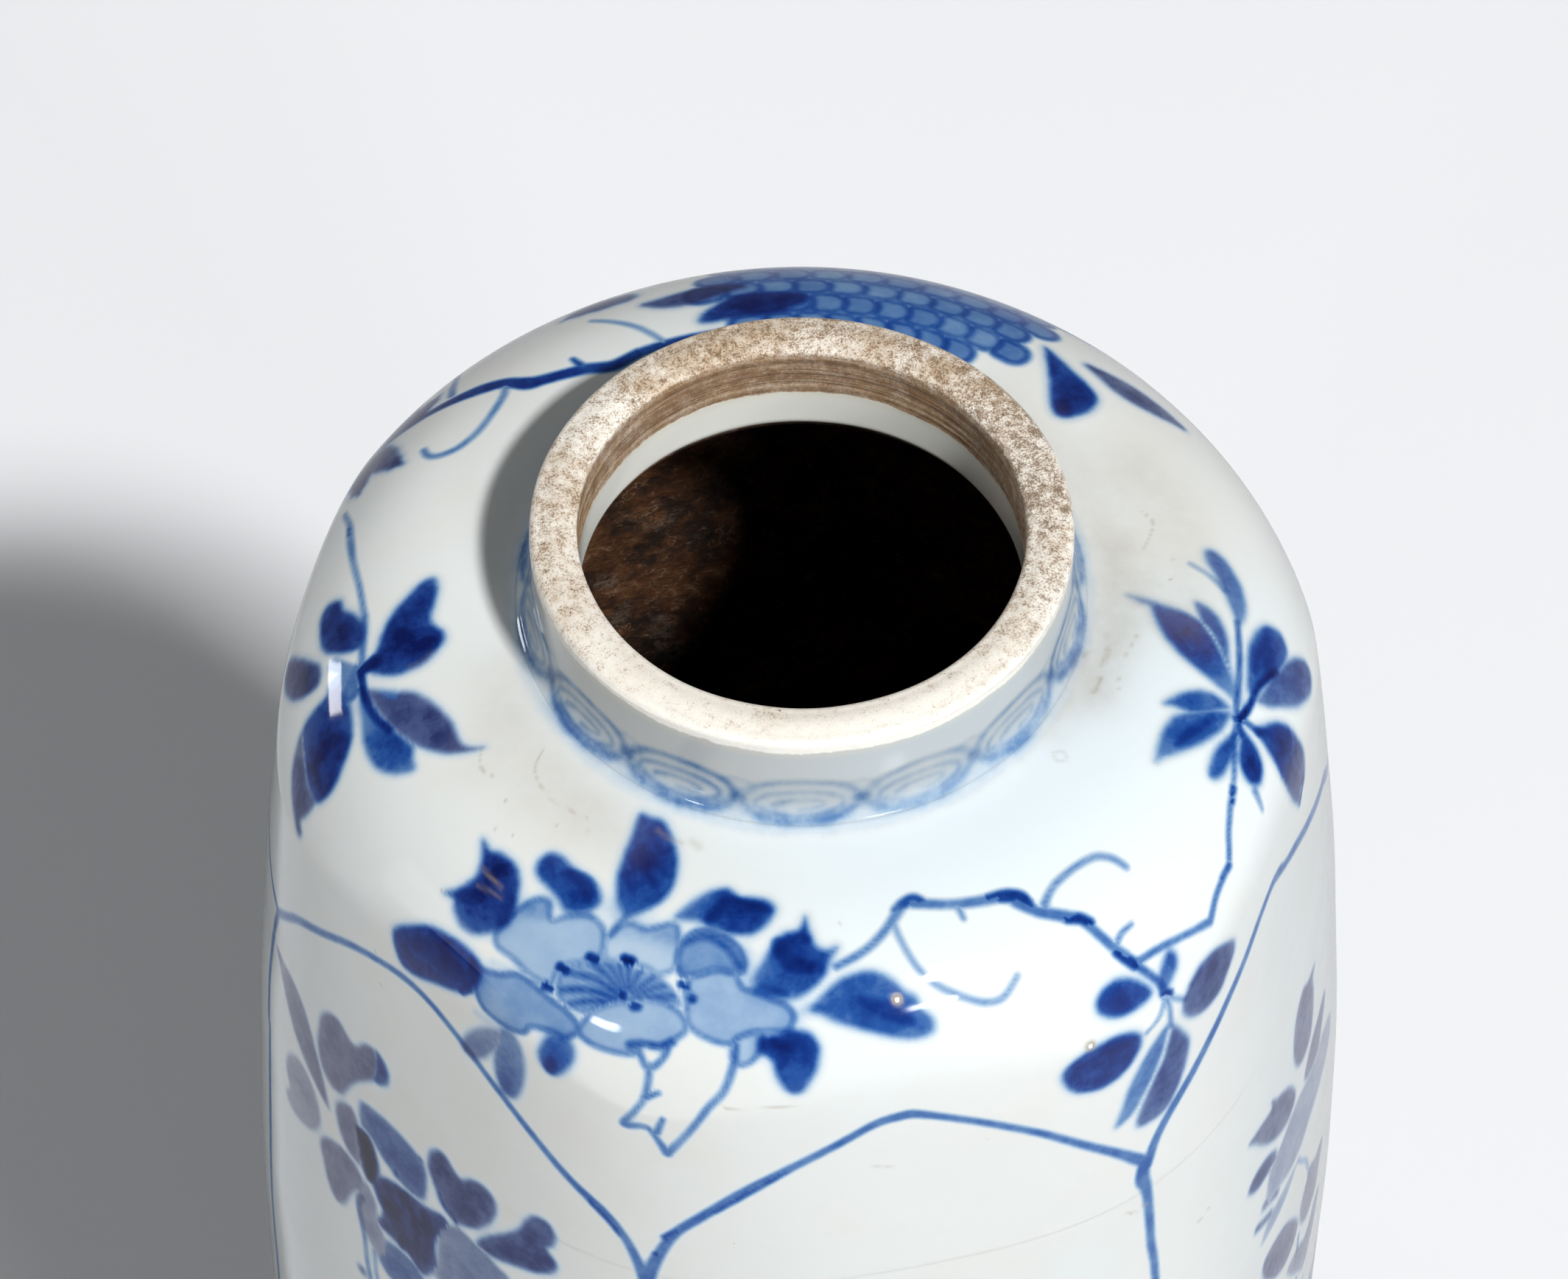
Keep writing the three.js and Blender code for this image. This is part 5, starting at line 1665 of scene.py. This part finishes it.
def coverKnob():
    # A pointed bud, blue at its tip and round its foot
    neckRadius, neckHeight = cover["knobNeck"], cover["knobNeckHeight"]
    bud = cover["knobHeight"] - neckHeight
    outline = [(0.3, coverCrown), (neckRadius - 0.4, coverCrown), (neckRadius, coverCrown + 0.3)]
    for t in np.linspace(0.15, 0.95, 8):
        outline.append((neckRadius - 0.25 * math.sin(math.pi * t), coverCrown + neckHeight * t))
    for t in np.linspace(0.05, 0.992, 70):
        ball = cover["knobRadius"] * math.sin(math.pi * t ** cover["knobFullness"])
        outline.append((max(ball, neckRadius * (1 - t)), coverCrown + neckHeight + bud * t))
    count = cover["knobAround"]
    rings = turnedRings(outline, count)
    knob = makeMesh("cover_knob_painted", rings, False, [painted], lambda row: 0, sharp=60)
    length = lengthAlong(outline)
    brush = Brush(columns(count), length, np.array([r for r, z in outline]).clip(1))
    for station, tone, half in ((length[-1], *coverPainting["knobTip"]), *coverPainting["knobLines"]):
        brush.line(tone, hoop(station, half, 8))
    for theta in range(-150, 151, 60):
        brush.leaf(0.85, f"{theta} 9.5 .3, {theta} 12 1.5, {theta} 15 1.7, {theta} 18 .4", 0.1)
    brush.give(knob)
    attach(knob, "cover")
    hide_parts("cover_knob")
    print("made the cover")


coverPlug()
coverCap()
coverKnob()

view = {  # the camera, as the photograph was taken
    "distance": 900.0,  # mm from the middle of the mouth
    "elevation": 51.84,
    "azimuth": -12.3,
    "lens": 201.42,
    "focal": 11912.0,  # in pixels of the whole picture
    "rimAt": (1088.5, 710.8),  # where the middle of the mouth falls, in the same pixels
    "picture": (2129, 1736),
}


def aimCamera():
    e, a = math.radians(view["elevation"]), math.radians(view["azimuth"])
    back = Vector((math.sin(a) * math.cos(e), -math.cos(a) * math.cos(e), math.sin(e)))
    rim = Vector((0.0, vaseY, form["vaseHeight"]))
    place = (rim + back * view["distance"]) * mm
    forward = -back
    right = forward.cross(Vector((0, 0, 1))).normalized()
    yaw = math.atan((view["rimAt"][0] - view["picture"][0] / 2) / view["focal"])
    pitch = math.atan((view["rimAt"][1] - view["picture"][1] / 2) / view["focal"] * math.cos(yaw))
    turned = forward * math.cos(yaw) - right * math.sin(yaw)
    right = right * math.cos(yaw) + forward * math.sin(yaw)
    up = right.cross(turned)
    aim = turned * math.cos(pitch) + up * math.sin(pitch)
    up = right.cross(aim)
    data = bpy.data.cameras.new("camera")
    data.sensor_width = 36.0
    data.sensor_fit = "HORIZONTAL"
    data.lens = view["lens"]
    data.clip_start = 0.02
    camera = bpy.data.objects.new("camera", data)
    camera.matrix_world = Matrix((
        (right.x, up.x, -aim.x, place.x), (right.y, up.y, -aim.y, place.y),
        (right.z, up.z, -aim.z, place.z), (0, 0, 0, 1)))
    bpy.context.scene.collection.objects.link(camera)
    bpy.context.scene.camera = camera


aimCamera()

lights = {  # azimuth from the front, elevation, distance in m, width and height in m, power in W
    "key": (25.2, 52.0, 6.0, 0.60, 0.40, 424.0),
    "sheen": (16.0, 36.6, 2.6, 0.42, 0.13, 8.6),
    "left": (-47.9, 14.4, 1.0, 0.08, 0.07, 0.6),
    "fill": (-82.0, 9.0, 1.5, 0.8, 0.6, 1.8),
    "leftBack": (-128.8, 9.4, 1.0, 0.15, 0.15, 1.2),
    "aim": (0.0, -0.0385, 0.20),
    "horizon": (0.252, 0.255, 0.262),
    "zenith": (0.109, 0.110, 0.113),
    "seen": (0.86, 0.87, 0.885),
}


def addLight(name):
    azimuth, elevation, distance, width, height, power = lights[name]
    a, e = math.radians(azimuth), math.radians(elevation)
    out = Vector((math.sin(a) * math.cos(e), -math.cos(a) * math.cos(e), math.sin(e)))
    data = bpy.data.lights.new(name, "AREA")
    data.shape = "RECTANGLE"
    data.size, data.size_y = width, height
    data.energy = power
    lamp = bpy.data.objects.new(name, data)
    lamp.location = Vector(lights["aim"]) + out * distance
    lamp.rotation_euler = out.to_track_quat("Z", "Y").to_euler()
    bpy.context.scene.collection.objects.link(lamp)


for name in ("key", "sheen", "left", "fill", "leftBack"):
    addLight(name)


def setWorld():
    world = bpy.data.worlds.new("studio")
    bpy.context.scene.world = world
    world.use_nodes = True
    tree = world.node_tree
    tree.nodes.clear()
    wire = Wire(tree)
    height = wire.node("ShaderNodeTexCoord", None, None, 0).part(2)
    sky = blended(height.ramped(-0.1, 0.9), lights["horizon"], lights["zenith"])
    seen = wire.node("ShaderNodeLightPath", None, None, 0)
    colour = blended(seen, sky, lights["seen"])
    lit = wire.node("ShaderNodeBackground", None, {0: colour, 1: 1.0})
    wire.node("ShaderNodeOutputWorld", None, {0: lit})


setWorld()

floorLooks = {
    "colour": rgb(229, 230, 232),
    "mottled": rgb(227, 228, 231),
    "bounce": (0.68, 0.68, 0.69),  # how much darker it is to the light than to the camera
    "roughness": 0.6,
    "reach": 4.0,  # half its width in m
    "fades": (500.0, 1300.0),  # it fades into the backdrop between these, in mm
    "rises": 0.0004,  # height in m of the rises past its middle
    "below": 0.00005,  # how far in m it lies under the ground
}


def makeFloor():
    # A plain pale sweep, one sheet of small rises too low to see
    count = 40
    line = np.linspace(-floorLooks["reach"], floorLooks["reach"], count)
    x, y = np.meshgrid(line, line)
    rises = (np.hypot(x, y) > 1.0) * floorLooks["rises"] * np.sin(x * 2) * np.cos(y * 1.5)
    points = np.stack([x, y, rises - floorLooks["below"]], -1).reshape(-1, 3)
    faces = [[r * count + c, r * count + c + 1, (r + 1) * count + c + 1, (r + 1) * count + c]
             for r in range(count - 1) for c in range(count - 1)]
    mesh = bpy.data.meshes.new("floor")
    mesh.from_pydata(points.tolist(), [], faces)
    mesh.shade_smooth()
    material, wire, shader = newMaterial("paleFloor")
    place = placeInMm(wire)
    mottle = noise(place, 0.004, 3.0).ramped(0.3, 0.7)
    colour = blended(mottle * 0.25, floorLooks["colour"], floorLooks["mottled"])
    straight = wire.node("ShaderNodeLightPath", None, None, 0)
    colour = blended(straight, colour.vector("MULTIPLY", floorLooks["bounce"]), colour)
    outward = wire.math("SQRT", place.part(0) ** 2 + place.part(1) ** 2)
    far = outward.ramped(*floorLooks["fades"]) * straight
    black = (0.0, 0.0, 0.0)
    feed(wire, shader, {
        "Base Color": blended(far, colour, black), "Roughness": floorLooks["roughness"],
        "Emission Color": blended(far, black, lights["seen"]), "Emission Strength": 1.0,
        "Specular IOR Level": 0.3})
    mesh.materials.append(material)
    floor = bpy.data.objects.new("floor", mesh)
    bpy.context.scene.collection.objects.link(floor)
    print("made the floor")


makeFloor()
bpy.context.scene.view_settings.view_transform = "Standard"


def plain(box):
    return [list(corner) for corner in box]
